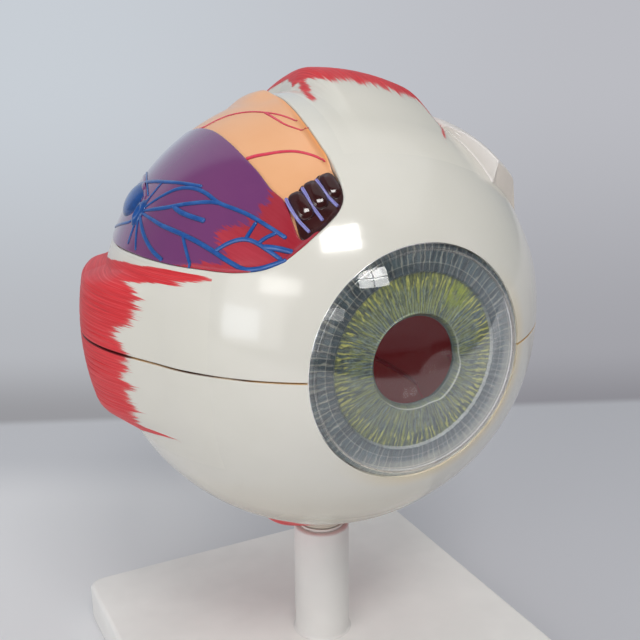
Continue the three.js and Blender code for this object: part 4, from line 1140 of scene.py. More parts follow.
def inner_vessels(shape, half):
    """Arteries and veins that fan out over the retina's inner face from the nerve. A line is given
    by its distance in degrees and its bearing, which bends like a sine on the way."""
    fans = [(28, 0.62, 2), (52, 0.5, 3), (82, 0.55, 2), (112, 0.5, 3), (146, 0.6, 2), (164, 0.45, 3)]
    for angle, width, finish in fans:
        reach = np.linspace(0.12, 1.0, 7)
        bend = np.sin(reach * 3.4) * 0.20 * (1 if angle < 90 else -1)
        bearing = math.radians(angle) + bend
        line = 78 * reach[:, None] * np.stack([np.cos(bearing), half * np.sin(bearing)], -1)
        tube_inside(shape, line, width, finish)


def tube_inside(shape, line, width, finish):
    """A tube on the retina's inner face along [across, up] angles about the nerve's axis. It
    thins to a third on the way and is drawn in to a point at both ends."""
    fine = spline(line, 60)
    distance = np.radians(np.linalg.norm(fine, axis=1))
    way = fine / np.linalg.norm(fine, axis=1, keepdims=True)
    centre = (np.cos(distance)[:, None] * NERVE_AXIS
              + np.sin(distance)[:, None] * (way[:, 1:] * UP - way[:, :1] * NERVE_SIDE))
    ground = RETINA[1] + 0.05
    tangent = np.gradient(centre, axis=0)
    tangent /= np.linalg.norm(tangent, axis=1, keepdims=True)
    across = np.cross(tangent, centre)
    size = width * np.linspace(1, 0.35, 60)[:, None, None]
    size[[0, -1]] = 0.0
    angle = np.linspace(0, 2 * np.pi, 9)[None, :, None]
    ring = centre[:, None] * (ground - 0.5 * size * np.sin(angle)) + across[:, None] * size * np.cos(angle)
    shape.grid(parted(ring, 1 if fine[-1, 1] > 0 else -1), finish)


def make_veins():
    """Net of veins that stands up from the choroid. They meet in a small crater beside a large
    swelling, and a fold of the choroid with a thin vein beside it runs over the swelling."""
    shape = Shape()
    for width, line in VEINS:
        first = line[0] == VEIN_HUB
        tube(shape, line, 0.72 * width, 0.5 * width, choroid_level, 14, 0, 0.9, (not first, True),
             0.6 if first else 0.9)
    bulb(shape, (88.6, -57.6), 4.7, 1.5, 0.62, dimple=True)
    swelling = (97.6, -55.4), 6.2, 2.0, 1.4
    bulb(shape, *swelling)

    def over(theta, phi):
        (middle, bearing), wide, tall, stretch = swelling
        far = ((theta - middle) * DEGREE / (wide * stretch)) ** 2 + ((phi - bearing) * DEGREE / wide) ** 2
        return choroid_level(theta, phi) + tall * np.maximum(1 - far**1.1, 0) ** 0.6

    fold = [(104, -48.6), (100, -49.6), (96, -50.9), (92.4, -52.3), (89.2, -53.9)]
    tube(shape, fold, 1.0, 0.5, over, 18, 1, 0.75, paint=FAR_FROM_RED)
    tube(shape, [(t - 0.3, p + 0.95) for t, p in fold], 0.4, 0.42, over, 12, 0, 0.9)
    shape.build("vortex_vein_net", "vein choroid", "globe_upper", "vein", "vortex_veins", edge=50)


def bulb(shape, place, wide, tall, stretch, dimple=False):
    """A low dome on the choroid: height tall * sqrt(1 - t^2) over an oval; a dimple sinks its
    middle and leaves a raised rim."""
    t = np.linspace(0, 1, 24)[:, None]
    a = np.linspace(0, 2 * np.pi, 49)[None, :]
    height = tall * (1 - t**2.2) ** 0.6
    if dimple:
        height = height - tall * (1 - smooth(t, 0.08, 0.66)) * 0.68
    centre = unit(*place)
    along = unit(place[0] + 0.1, place[1]) - centre
    along /= np.linalg.norm(along)
    across = np.cross(centre, along)
    disc = along * (wide * stretch * t * np.cos(a))[..., None] + across * (wide * t * np.sin(a))[..., None]
    way = centre * GLOBE + disc
    way /= np.linalg.norm(way, axis=-1, keepdims=True)
    theta, phi = np.degrees(np.arccos(-way[..., 1])), np.degrees(np.arctan2(way[..., 0], way[..., 2]))
    ground = choroid_level(theta, phi) - 0.15
    # This uv puts the vein finish's painted highlight in the middle and its painted shade at the rim
    uv = np.stack(np.broadcast_arrays(0 * t + 0.5 + 0 * a, 0.06 + 0.18 * (1 - t) + 0 * a), -1)
    top, low = way * (ground + height)[..., None], way * (ground - 0.6)[..., None]
    shape.grid(top, uv=uv)
    shape.grid(np.stack([top[-1], low[-1]]), uv=np.stack([uv[-1], uv[-1]]))
    shape.grid(low, uv=uv)


def make_ciliary():
    """Folded ring round the lens in two halves. Its inner face runs from the ledge to the retina's
    front and is drawn in by 60 round folds: a cosine round the axis times a sine arch along the
    way."""
    folds, steps = 60, 450
    outer, front, back = RETINA[0] - 0.25, math.radians(37.5), math.radians(49)
    front_r, front_u = LEDGE_RADIUS + 4.2, LEDGE_BACK - 0.35
    back_r, back_u = outer * math.sin(back) - 2.4, outer * math.cos(back) - 1.2
    t = np.linspace(0, 1, 26)[None, :]
    shell_angle = front + (back - front) * t
    for half, name in HALVES:
        turn = half_turn(half, steps)
        wave = 0.5 + 0.5 * np.cos(folds * turn)
        arch = np.sin(np.pi * t**0.75) ** 0.8
        inner_r = front_r + (back_r - front_r) * t**1.15 - (0.6 + 2.9 * wave**1.6) * arch
        inner_r = np.maximum(inner_r, LEDGE_RADIUS + 0.25)
        top = cut_ring(outer * np.sin(shell_angle), turn, outer * np.cos(shell_angle), half)
        bottom = cut_ring(inner_r, turn, front_u + (back_u - front_u) * t, half)
        shape = Shape().thick(top, bottom)
        shape.build(f"ciliary_rays_{name}", "ciliary", f"globe_{name}", "ciliary",
                    f"ciliary_body_{name}", edge=60)


def make_lobes():
    """Three glossy fingers side by side on a dark ground, with a pale rib beside each."""
    shape = Shape()
    theta = np.linspace(41.5, 53.4, 60)
    low, high = window_span(theta, 0.1)
    edge = np.maximum(low, cut_phi(theta) + 0.1)
    edge = np.minimum(edge, high - 0.05)
    top_edge = np.minimum(high, -18.6)
    share, depth = edged((top_edge - edge) * DEGREE * np.sin(np.radians(theta)), 0.4, 5, 70)
    phi = edge[:, None] + np.maximum(top_edge - edge, 0.02)[:, None] * share
    near = np.minimum(window_gap(theta[:, None], phi), 9)
    lift = smooth(theta, 53.2, 51.5)[:, None] * (0.75 + 1.2 * (1 - smooth(near, 0.1, 1.7)) ** 1.3)
    arcs = np.interp(phi, *np.array(LOBE_ARCS).T)
    spread = theta[0] + (theta[:, None] - theta[0]) * (arcs - theta[0]) / (theta[-1] - theta[0])
    way = unit(spread, phi)
    top = way * (LAND_RETINA + lift - 0.7 * depth[None, :])[..., None]
    shape.thick(parted(top, 1), parted(way * (LAND_RETINA - 0.4), 1))
    for back, front, wide in LOBES:
        finger(shape, back, front, wide)
    for line in RIDGES:
        tube(shape, line, 0.55, 0.7, ridge_level, 20, 1, 0.95)
    shape.build("ciliary_lobes_window", "ciliary ridge", "globe_upper", "ciliary", "ciliary_lobes", edge=50)


def ridge_level(theta, phi):
    """Radius on which the pale ribs lie: it sinks a little towards the front."""
    return GLOBE - 0.6 - 1.0 * smooth(theta, 51.5, 45.5)


def rounded(wave, power):
    """A sine or cosine with its sign kept and its size raised to a power, for a super-ellipse."""
    return np.sign(wave) * np.abs(wave) ** power


def finger(shape, back, front, wide):
    """A rounded finger between two places, a pillow with a level top: its half width and its
    height follow super-ellipses along it and across it, and it is 2.2 mm high at its crest."""
    s = np.linspace(-1, 1, 61)[:, None]
    a = np.linspace(0, 2 * np.pi, 49)[None, :]
    ends = unit(np.array([front[0], back[0]]), np.array([front[1], back[1]]))
    middle, along = ends.mean(0), (ends[1] - ends[0]) / 2
    reach = np.linalg.norm(along)
    middle /= np.linalg.norm(middle)
    along *= (reach + wide / GLOBE) / reach
    full = (1 - np.abs(s) ** 3.4) ** (1 / 2.6)
    side = np.cross(along, middle)
    side /= np.linalg.norm(side)
    ground = LAND_RETINA + 0.1
    centre = middle + along * s[..., None]
    centre /= np.linalg.norm(centre, axis=-1, keepdims=True)
    crest = 2.2 + 0.25 * s
    sideways = wide * full * rounded(np.cos(a), 0.62)
    upwards = crest * full * np.maximum(rounded(np.sin(a), 0.75), -0.35)
    points = centre * (ground + upwards)[..., None] + side * sideways[..., None]
    shape.grid(parted(points, 1))


def cap(radius, height, base, sign, count):
    """Profile of a sphere cap from its middle to its rim, ahead of its base for sign 1 and behind
    it for -1. The ball's radius is (r^2 + h^2) / 2h."""
    ball = (radius**2 + height**2) / (2 * height)
    angle = np.linspace(0, math.asin(radius / ball), count)
    return np.stack([ball * np.sin(angle), base + sign * (ball * np.cos(angle) - (ball - height))], 1)


def make_cornea():
    """Clear dome over the iris: an outer and an inner sphere cap, joined by a wall that stands on
    the iris rim. Three fine ribs run round the inside of that wall."""
    sizes = bpy.context.scene.eye_sizes
    rise, wall = sizes.cornea_rise / MM, sizes.cornea_wall / MM
    edge = IRIS_RIM
    outer = cap(edge - 0.2, rise + 0.05, LIMBUS_U - 0.05, 1, 60)[::-1]
    inner = cap(edge - wall, rise - wall, LIMBUS_U + 0.5, 1, 50)
    inner[:, 1] = np.minimum(inner[:, 1], LIMBUS_U + rise - wall)
    foot = IRIS_FACE + 0.3
    u = np.linspace(LIMBUS_U + 0.45, foot + 0.2, 31)
    ribs = np.stack([edge - wall - 0.09 * (1 - np.cos((u - u[0]) / (u[0] - u[-1]) * 6 * np.pi)), u], 1)
    lip = (edge, LIMBUS_U - 0.25)
    seat = [(edge - wall + 0.15, foot), (edge - 0.15, foot), (edge, foot + 0.15), lip]
    dome = Shape().turned(np.concatenate([[lip], outer, inner, ribs, seat]), 160)
    dome.build("cornea_dome", "clear", "cornea_cap", "clear", "cornea").visible_shadow = False


def make_iris():
    """Disc whose middle lies a step below its outer band, with a raised ring round the funnel
    that leads to the pupil. The rim is flat under the dome's wall, and fine folds run outwards."""
    sizes = bpy.context.scene.eye_sizes
    rim, pupil = IRIS_RIM, sizes.pupil_radius / MM
    seat = rim - sizes.cornea_wall / MM - GAP
    base = LEDGE_U + GAP
    r = np.concatenate([np.linspace(pupil, 0.42 * rim, 22), np.linspace(0.42 * rim, seat, 106)[1:],
                        np.linspace(seat, rim, 7)[1:]])
    q = (r - pupil) / (seat - pupil)
    cone = IRIS_FACE + 1.4 * np.clip(1 - q, 0, 1)
    step = 0.12 * np.exp(-((r / rim - 0.768) / 0.008) ** 2) - 0.85 * smooth(r / rim, 0.760, 0.738)
    ring = 0.35 * np.exp(-((r / rim - 0.412) / 0.008) ** 2) - 1.3 * smooth(r / rim, 0.407, pupil / rim)
    angle = np.radians(np.linspace(0, 360, 481))[:, None]
    fade = smooth(q, 0.02, 0.2) * smooth(q, 0.98, 0.9)
    folds = 0.08 * np.cos(angle * 80 + 2.2 * np.sin(5 * angle) + 6 * q) * fade
    folds = folds + 0.06 * np.cos(angle * 53 - 1.7 * np.sin(3 * angle) - 9 * q) * fade
    front = about_axis(r, angle, cone + step + ring + folds)
    uv = np.stack(np.broadcast_arrays(angle / (2 * np.pi), (r / rim)[None, :]), -1)
    low = np.linspace(pupil, rim, 9)
    rise = 0.25 * smooth(low, LEDGE_RADIUS, LEDGE_RADIUS - 6)
    under = about_axis(low, angle, base + rise)
    flat = np.stack(np.broadcast_arrays(angle / (2 * np.pi), (low / rim)[None, :]), -1)
    shape = Shape().grid(front, uv=uv).grid(under, uv=flat)
    for pick in (0, -1):
        shape.grid(np.stack([front[:, pick], under[:, pick]]), uv=np.stack([uv[:, pick], uv[:, pick]]))
    shape.build("iris_disc_fibres", "iris", "iris_disc", "iris", "iris", edge=50)


def make_lens():
    """Lens of two caps on a short upright rim."""
    front = cap(LENS_RIM, LENS_RISE, LENS_FRONT, 1, 40)
    back = cap(LENS_RIM, LENS_DEPTH, LENS_BACK, -1, 40)[::-1]
    belly = np.stack([np.full(3, LENS_RIM), np.linspace(LENS_FRONT - 0.6, LENS_BACK + 0.6, 3)], 1)
    lens = Shape().turned(np.concatenate([front, belly, back]), 120)
    lens.build("lens_body", "lens", "lens_group", "clear", "lens").visible_shadow = False


def make_zonule():
    """Two rings and between them two layers of threads that lean to either side in turn. A thread
    is a thin six-sided tube drawn in to a point at both ends."""
    threads = Shape()
    near, far, thick = LENS_RIM + 0.15, 30.4, 0.14
    low = (LENS_FRONT + LENS_BACK) / 2 - 0.8
    line = np.linspace(0, 1, 5)[:, None]
    girth = thick * np.array([0, 1, 1, 1, 0])[:, None]
    round_it = np.linspace(0, 2 * np.pi, 7)[None, :]
    for start, end, skew in ((1.6, 3.5, 0.012), (0.4, 3.2, -0.012)):
        for k, a in enumerate(np.linspace(0, 2 * np.pi, 90, endpoint=False)):
            turn = a + skew * line * (1 if k % 2 else -1)
            way = about_axis(near + (far - near) * line, turn, low + start + (end - start) * line)
            side, back = np.array([math.cos(a), 0, -math.sin(a)]), np.array([0, 1.0, 0])
            threads.grid(way + side * (girth * np.cos(round_it))[..., None]
                         + back * (girth * np.sin(round_it))[..., None])
    for radius, u in ((26.2, low + 1.0), (30.3, low + 3.35)):
        a = np.linspace(0, 2 * np.pi, 8)
        threads.turned(np.stack([radius + 0.22 * np.cos(a), u + 0.5 * np.sin(a)], 1), 120)
    threads.build("zonule_threads_ring", "threads", "lens_group", "clear", "zonule", edge=60)


def make_vitreous():
    """Clear ball that fills the retina, with a dish in front for the lens and a soft lip."""
    ball = RETINA[1] - 0.5
    arc = np.linspace(math.pi, math.radians(50.5), 110)
    arc = np.stack([ball * np.sin(arc), ball * np.cos(arc)], 1)
    arc[0, 0] = 0
    lip = LENS_BACK - GAP
    soft = [(arc[-1, 0] - 0.6, arc[-1, 1] + 0.1), (30.9, lip - 0.4), (30.5, lip), (27.0, lip),
            (26.4, lip - 0.35)]
    dish = cap(LENS_RIM + GAP, LENS_DEPTH, LENS_BACK - 0.7, -1, 50)[::-1]
    body = Shape().turned(np.concatenate([arc, soft, dish]), 144)
    body.build("vitreous_ball", "vitreous", "vitreous", "clear", "vitreous_body").visible_shadow = False


# Each straight muscle: the phi of its middle line, and offsets in degrees across that line. The
# skin spans two offsets, and fade widens the way in which its two sides run out. The flank is the
# share of the half width over which the belly slopes, for either side. reach and bound give thetas
# with the offsets of the belly's and of the paint's two sides; edge is the paint's front edge as
# (offset, theta); a streak is thetas, offsets and half width in millimetres.
MUSCLES = {
    "lateral": dict(
        phi=-90, skin=(-27.5, 22.5), fade=(3.5, 1.2), flank=(0.31, 0.21),
        reach=([60, 84, 92, 104], [-20.4, -24.2, -25.4, -25.6], [19.3, 18.5, 17.0, 15.6]),
        bound=([50, 52, 55, 60, 66, 71, 78.5, 85, 89, 95, 107, 121],
               [-21.8, -21.6, -21.3, -20.8, -19.95, -20.5, -21.7, -23.5, -24.8, -25.6, -25.4, -25],
               [20.9, 21.5, 22.2, 22.3, 22.1, 21.7, 21, 20.5, 20, 19, 17, 16.4]),
        edge=[(-24, 74), (-21.6, 66), (-20.2, 64.5), (-19.9, 65.5), (-19.6, 70), (-19.3, 76), (-18.6, 79),
              (-16.9, 77.5), (-15.6, 77.3), (-14.9, 77), (-13.8, 75.4), (-12.6, 76.5), (-11.4, 77.1),
              (-9.5, 77.5), (-8.2, 76.3), (-7.1, 74.8), (-6.4, 76.8), (-5.7, 78.4), (-4.3, 77.2),
              (-3, 75.1), (-2.1, 76.9), (-1.4, 76.3), (-0.7, 75), (0.2, 75), (0.8, 76.4), (1.4, 76.8),
              (2.9, 77.9), (4.2, 78.8), (5.3, 79.2), (6.4, 77), (7.2, 75.3), (8.2, 74.2), (9.2, 73.4),
              (10.4, 73.8), (11.7, 71.5), (12.4, 73.6), (13.1, 73.2), (13.7, 72), (14.4, 74), (15.2, 73.4),
              (16, 76), (16.5, 78.7), (17.1, 75.9), (17.9, 70.9), (18.4, 65.9), (18.8, 59.9), (19.6, 62),
              (20.4, 56), (21.1, 50.9), (21.8, 54), (22.4, 60)]),
    "medial": dict(
        phi=90, skin=(-25.5, 25.5), reach=([60], [-19.5], [19.5]),
        bound=([50, 62, 87, 121], [-22, -21.8, -20.2, -19.6], [22, 21.8, 20.2, 19.6]),
        edge=[(-22, 55), (-20.5, 58), (-18.6, 66), (-16.4, 77), (-12, 74), (-8, 76.5), (-4, 78), (0, 76),
              (5, 78), (8, 74.5), (13, 73), (16.4, 77), (18.6, 64), (20.8, 53), (22, 58)]),
    "superior": dict(
        phi=12, skin=(-22, 21.5), reach=([60, 98, 108], [-16, -15.6, -14.4], [16, 16, 16]),
        bound=([50, 70, 76, 82, 90, 96, 100, 106, 121],
               [-19, -19, -19, -18.9, -18.2, -16.2, -14.2, -12.6, -12],
               [14, 16, 19.4, 20.4, 19.4, 18, 17.2, 16.8, 16.4]),
        edge=[(-19.5, 101), (-18, 101), (-15.6, 99), (-14.6, 95), (-13.7, 89), (-12.4, 82), (-11.2, 80.4),
              (-9.5, 82.6), (-8, 81.4), (-6.6, 82.2), (-4.3, 80.2), (-2.6, 82), (-1, 80.6), (0.4, 81.4),
              (2.1, 79.2), (3.6, 80.3), (5.8, 78.2), (7.4, 80.4), (9.2, 80), (10.6, 80), (12, 78.6),
              (13.9, 77.6), (16, 76.2), (18.2, 75), (20, 76.5)],
        streaks=[([77.4, 80, 86, 91, 98], [-18.5, -18.1, -16.8, -15.2, -13], 1.2),
                 ([61.4, 65.5, 69.4, 71, 73, 75, 77, 79, 82, 86],
                  [10.8, 12.6, 14.4, 14.6, 13.4, 12.7, 12.4, 12.2, 12, 11.8], 0.75)]),
    "inferior": dict(
        phi=180, skin=(-25.5, 28.5), reach=([60], [-19.5], [19.5]),
        bound=([50, 66, 75, 90, 121], [-22, -21.8, -20.8, -20, -19.6], [24, 27.4, 24.6, 20.6, 19.8]),
        edge=[(-22, 58), (-20, 63), (-17, 74), (-12, 77), (-6, 75), (0, 78), (5, 76), (9, 73), (13, 68.4),
              (15.6, 64.9), (20, 66.3), (25.5, 69.2), (27.5, 74)]),
}


def soft_min(one, two, width):
    """The lower of two values, with the corner between them rounded over the width."""
    return np.minimum(one, two) - np.maximum(width - np.abs(one - two), 0) ** 2 / (4 * width)


def side_offsets(theta, table):
    """The two offsets of a table of [thetas, least offsets, greatest offsets] at each theta."""
    thetas, least, most = table
    return np.interp(theta, thetas, least), np.interp(theta, thetas, most)


def belly(theta, offset, reach, flank):
    """Height of a muscle's belly over the globe, and how far up its slope each place lies, from 0
    to 1. A thin tendon swells into the belly, level in the middle and sloping to the globe over
    the flank. It is made of round bundles, parted by the narrow valleys of 1 - |cos|."""
    least, most = side_offsets(theta, reach)
    share = offset / np.where(offset < 0, least, most)
    slope = -soft_min(0.0, -soft_min(1.0, (1 - share) / np.where(offset < 0, *flank), 0.24), 0.1)
    height = 0.32 * smooth(theta, 51, 60) + 6.9 * smooth(theta, 64.5, 97)
    wander = 0.35 * np.sin(theta * 0.05 + offset * 0.2) + 0.1 * np.sin(theta * 0.19 + offset * 0.9)
    valley = 0.2 * (1 - np.abs(np.cos(np.radians(118) * (offset + wander)))) ** 2.2
    valley = valley + 0.12 * (1 - np.abs(np.cos(np.radians(187) * (offset - wander) + 1.0))) ** 2
    valley = valley * (0.75 + 0.45 * np.sin(offset * 0.8 + theta * 0.07))
    return height * slope - 1.25 * valley * smooth(slope, 0.05, 0.5) * smooth(theta, 76, 88), slope


def paint_lead(theta, offset, bound, edge, streaks):
    """Distance in millimetres behind the front edge of a muscle's paint."""
    lead = (theta - np.interp(offset, *np.array(edge, float).T)) * DEGREE
    least, most = side_offsets(theta, bound)
    lead = np.minimum(lead, 9 * np.minimum(offset - least, most - offset) * DEGREE)
    for places, middles, wide in streaks:
        away = np.abs(offset - np.interp(theta, places, middles)) * DEGREE
        ahead = np.minimum(theta - places[0], places[-1] - theta) * DEGREE
        lead = np.maximum(lead, np.minimum(3.2 * (wide * np.clip(0.4 + ahead / 8, 0, 1) - away), ahead))
    return lead


def muscle_grid(start, stop, phi, skin, reach, bound, edge, fade=(5, 5), flank=(0.21, 0.21), streaks=()):
    """Muscle over a band of the globe, from one offset to another: top, bottom, paint and uv. theta
    runs along it, the offset across it; each point is cos(offset) * meridian + sin(offset) * side.
    Round the belly a thin skin for the paint lies flush on the globe."""
    front, back, cut, lip = 50, 120, 118.9, 1.1
    rounded_end = back - 1.2 * (1 - np.sin(np.linspace(0.2, np.pi / 2, 6)))
    theta = np.concatenate([np.linspace(front, 118.6, 150), rounded_end])[:, None]
    offset = np.linspace(start, stop, int((stop - start) * 5.4))[None, :]
    height, slope = belly(theta, offset, reach, flank)
    borders = np.minimum((offset - skin[0]) / fade[0], (skin[1] - offset) / fade[1])
    rim = np.minimum(borders, np.minimum(theta - front, 40) / 5) * DEGREE
    end = lip * (1 - np.sqrt(np.clip(1 - np.clip((theta - cut) / lip, 0, 1) ** 2, 0, 1)))
    radius = GLOBE + 0.03 + height - 0.09 * (1 - smooth(rim, 0, 1)) - end * smooth(slope, 0, 0.6)
    side = np.array([math.cos(math.radians(phi)), 0, -math.sin(math.radians(phi))])
    off = np.radians(offset)[..., None]
    way = np.cos(off) * unit(theta, phi) + np.sin(off) * side
    uv = np.stack(np.broadcast_arrays(theta * DEGREE, offset * DEGREE), -1)
    lead = paint_lead(theta, offset, bound, edge, streaks)
    return way * radius[..., None], way * (GLOBE - 0.5), lead, uv


def make_muscles():
    """Four straight muscles. The lateral and the medial one are cut by the seam, so each has a
    half on either body."""
    halves = {"superior": (1,), "inferior": (-1,), "lateral": (1, -1), "medial": (-1, 1)}
    for name, given in MUSCLES.items():
        low, high = given["skin"]
        turns = halves[name]
        parts = [(turns[0], low, high)]
        if len(turns) == 2:
            parts = [(turns[0], 0.0, high), (turns[1], low, 0.0)]
        for half, start, stop in parts:
            top, bottom, lead, uv = muscle_grid(start, stop, **given)
            title, level = f"{name}_rectus", "upper" if half > 0 else "lower"
            if len(parts) == 2:
                title += f"_{level}"
                column = 0 if start == 0.0 else -1
                top[:, column, 2] = bottom[:, column, 2] = 0
                top = seam_round(top, 0.5)
            shape = Shape().thick(parted(top, half), parted(bottom, half), uv=uv, paint=lead, last=1)
            shape.build(f"{title}_painted", "muscle cut", f"globe_{level}", "muscle", title,
                        edge=38)


def strap_grid(corners, ends, up, rows=80, columns=40):
    """A strap between two pairs of corners on the globe. Its top is the foot moved straight up or
    down by a lift that grows from nothing to the two end heights, and its sides lean in. The
    long edges are rounded at the top and run out in a hollow curve at the foot."""
    left0, right0, left1, right1 = (unit(*c) for c in corners)
    curve = np.linspace(0, np.pi / 2, 7)
    s = np.concatenate([np.linspace(0, 0.97, rows), 0.97 + 0.03 * np.sin(curve)[1:]])[:, None]
    share, depth = edged(np.full(len(s), 18.0), 1.3, 7, columns)
    foot, hollow = 0.085 * (np.cos(curve) - 1), 1.5 * (1 - np.sin(curve))
    lean = 0.11 * s
    across = np.concatenate([foot[::-1] - 0.02 + 0 * s, lean + share * (1 - 2 * lean), 1.02 - foot + 0 * s],
                            1)
    left, right = left0 * (1 - s) + left1 * s, right0 * (1 - s) + right1 * s
    way = left[:, None] * (1 - across[..., None]) + right[:, None] * across[..., None]
    way /= np.linalg.norm(way, axis=-1, keepdims=True)
    lift = -0.7 + (ends[0] + (ends[1] - ends[0]) * np.clip(across, 0, 1) + 0.7) * s**0.8
    bevel = 0.6 * (1 - np.sqrt(np.clip(1 - np.clip((s - 0.97) / 0.03, 0, 1) ** 2, 0, 1)))
    low = np.zeros(len(curve))
    drop = np.concatenate([low, depth, low]) * np.clip(lift / 3.2, 0, 1)
    rise = lift - drop - bevel
    flare = np.concatenate([hollow[::-1], np.full(len(depth), 99.0), hollow])
    rise = np.minimum(rise, flare[None, :] - 0.25)
    top = way * (GLOBE + 0.1)
    top[..., 2] += up * rise
    return top, way * (GLOBE - 0.5)


def make_obliques():
    """The two oblique tendons, left white with a flat cut end."""
    given = (
        ("superior", "upper", 1, [(77, 30.4), (86, 27), (57.2, 43.1), (62.9, 57.9)], (8.3, 9.2)),
        ("inferior", "lower", -1, [(100, -153), (113, -150), (112, -128), (125, -122)], (6.6, 9.5)),
    )
    for name, half, up, corners, ends in given:
        top, bottom = strap_grid(corners, ends, up)
        shape = Shape().thick(parted(top, up), parted(bottom, up), last=1)
        shape.build(f"{name}_oblique_strap", "strap cut_white", f"globe_{half}", "ivory",
                    f"{name}_oblique", edge=32)


def make_nerve():
    """Nerve core with a cupped end inside the globe, in a white sheath of two halves."""
    wide, cup_wide, cup = 6.5, 6.4, RETINA[1] + 0.6
    t = np.linspace(0, 1, 14)
    inner = np.stack([cup_wide * t, np.sqrt(cup**2 - (cup_wide * t) ** 2) - 0.9 * (1 - t**2)], 1)
    side = [(wide, cup + 1), (wide, GLOBE), (wide, GLOBE + 12), (wide, NERVE_REACH - 0.6)]
    face = [(wide - 0.6, NERVE_REACH), (4.0, NERVE_REACH + 0.05), (2.0, NERVE_REACH), (0.0, NERVE_REACH)]
    core = Shape().turned(np.concatenate([inner, side, face]), 96, about_nerve)
    core.build("optic_nerve_core", "nerve", "globe_lower", "nerve", "optic_nerve")
    for half, name in HALVES:
        make_sheath(half, name)


def make_sheath(half, name):
    """Half of the sleeve round the nerve. Outside it flares to the globe like exp(-d) and has low
    rings like a cosine; its bore is straight."""
    long, tall = 22, 30
    d = np.linspace(0, 1, tall)
    outer = 10.4 + 5.2 * np.exp(-d * long / 2.4) + 0.18 * np.cos(d * 40)
    foot = math.sqrt(GLOBE**2 - outer[0] ** 2) - 0.3
    outer[-1] -= 0.5
    bore_at = np.linspace(GLOBE - 1.5, GLOBE + long - 0.2, tall)
    angle = half_turn(half, 72)
    top = cut_ring(outer, angle, foot + d * (GLOBE + long - foot), half, about_nerve)
    bottom = cut_ring(np.full(tall, NERVE_HOLE), angle, bore_at, half, about_nerve)
    Shape().thick(top, bottom).build(f"nerve_sheath_{name}_sleeve", "ivory", f"globe_{name}",
                                     "ivory", f"nerve_sheath_{name}", edge=35)


def square_ring(reach, corner, height, count=241):
    """Outline of a level square with round corners. Rays from the middle meet the plain square;
    each point is drawn to the nearest of the corner circles' middles and put at their radius."""
    turn = np.linspace(0, 2 * np.pi, count)
    way = np.stack([np.cos(turn), np.sin(turn)], 1)
    on_square = way * reach / np.abs(way).max(1, keepdims=True)
    middle = np.clip(on_square, corner - reach, reach - corner)
    off = on_square - middle
    size = np.linalg.norm(off, axis=1, keepdims=True)
    return np.column_stack([middle + off / size * corner, np.full(count, height)])


def make_base_plate():
    """Square plate with a rounded upper edge. Below it is hollow, with two crossed ribs and a
    boss that holds the post."""
    half, tall, soft = PLATE_HALF, PLATE_TALL, bpy.context.scene.eye_sizes.base_round / MM
    bend = np.linspace(0, np.pi / 2, 9)
    rows = [(half - 0.5, 5.0, 0.0), (half, 5.4, 0.5)]
    rows += [(half - soft * (1 - math.cos(b)), 5.4, tall - soft + soft * math.sin(b)) for b in bend]
    rows += [(half * k, 5.4 * k, tall) for k in (0.8, 0.5, 0.25)]
    rows += [(0.01, 0.005, tall), (0.01, 0.005, tall - 3), (half * 0.5, 3, tall - 3),
             (half - 4.0, 3.5, tall - 3), (half - 3, 3.5, tall - 4), (half - 3, 3.5, 0.3),
             (half - 2.7, 3.5, 0.0), (half - 0.5, 5.0, 0.0)]
    shape = Shape().grid(np.array([square_ring(*row) for row in rows]))
    under = tall - 2.9
    for dx, dy in ((half - 3.2, 1.2), (1.2, half - 3.2)):
        box_grid(shape, dx, dy, 0.0, under)
    boss = [(0, 3.7), (7.9, 3.7), (8.3, 4.1), (8.3, under), (14, under), (14, 0.4), (13.6, 0), (0, 0)]
    shape.turned(boss, 64, about_post)
    shape.build("base_plate_moulding", "stand", "stand", "stand_white", "base_plate", raised=False,
                edge=30)


def make_post():
    """Round post with a small hollow skirt on the plate, a rounded top and a bore for the pin."""
    wide, top, skirt, bevel = 10.4, 60, 0.9, 0.8
    bend = np.linspace(0, np.pi / 2, 7)
    profile = [(0, 4), (8, 4), (8, PLATE_TALL), (wide + skirt, PLATE_TALL)]
    profile += [(wide + skirt * (1 - math.sin(b)),
                 PLATE_TALL + 0.02 + skirt * (1 - math.cos(b))) for b in bend]
    profile += [(wide, 40), (wide, top - bevel)]
    profile += [(wide - bevel * (1 - math.cos(b)), top - bevel + bevel * math.sin(b)) for b in bend[1:]]
    profile += [(4.6, top), (4.3, top - 0.3), (4.3, 41.7), (0, 41.7)]
    post = Shape().turned(profile, 96, about_post)
    post.build("stand_post_column", "post", "stand", "stand_white", "stand_post", raised=False, edge=35)


def make_swivel():
    """Steel pin with a chamfered top, and the nylon washer and bush round it."""
    low, high = (corner[2] for corner in box_mm("swivel_pin"))
    profile = [(0, low), (3.6, low), (4, low + 0.4), (4, high - 0.8), (3.2, high), (0, high)]
    pin = Shape().turned(profile, 64, about_post)
    pin.build("swivel_pin_turned", "steel", "stand", "steel", "swivel_pin", raised=False, edge=35)
    bore, soft = 4.3, 0.15
    for node, body, wide in (("swivel_washer", "stand", 8.6), ("swivel_bush", "globe_lower", 5.9)):
        low, high = (corner[2] for corner in box_mm(node))
        profile = [(bore, low), (wide - soft, low), (wide, low + soft), (wide, high - soft),
                   (wide - soft, high), (bore, high), (bore, low)]
        ring = Shape().turned(profile, 64, about_post)
        ring.build(f"{node}_ring", "nylon", body, "nylon", node, raised=False, edge=35)


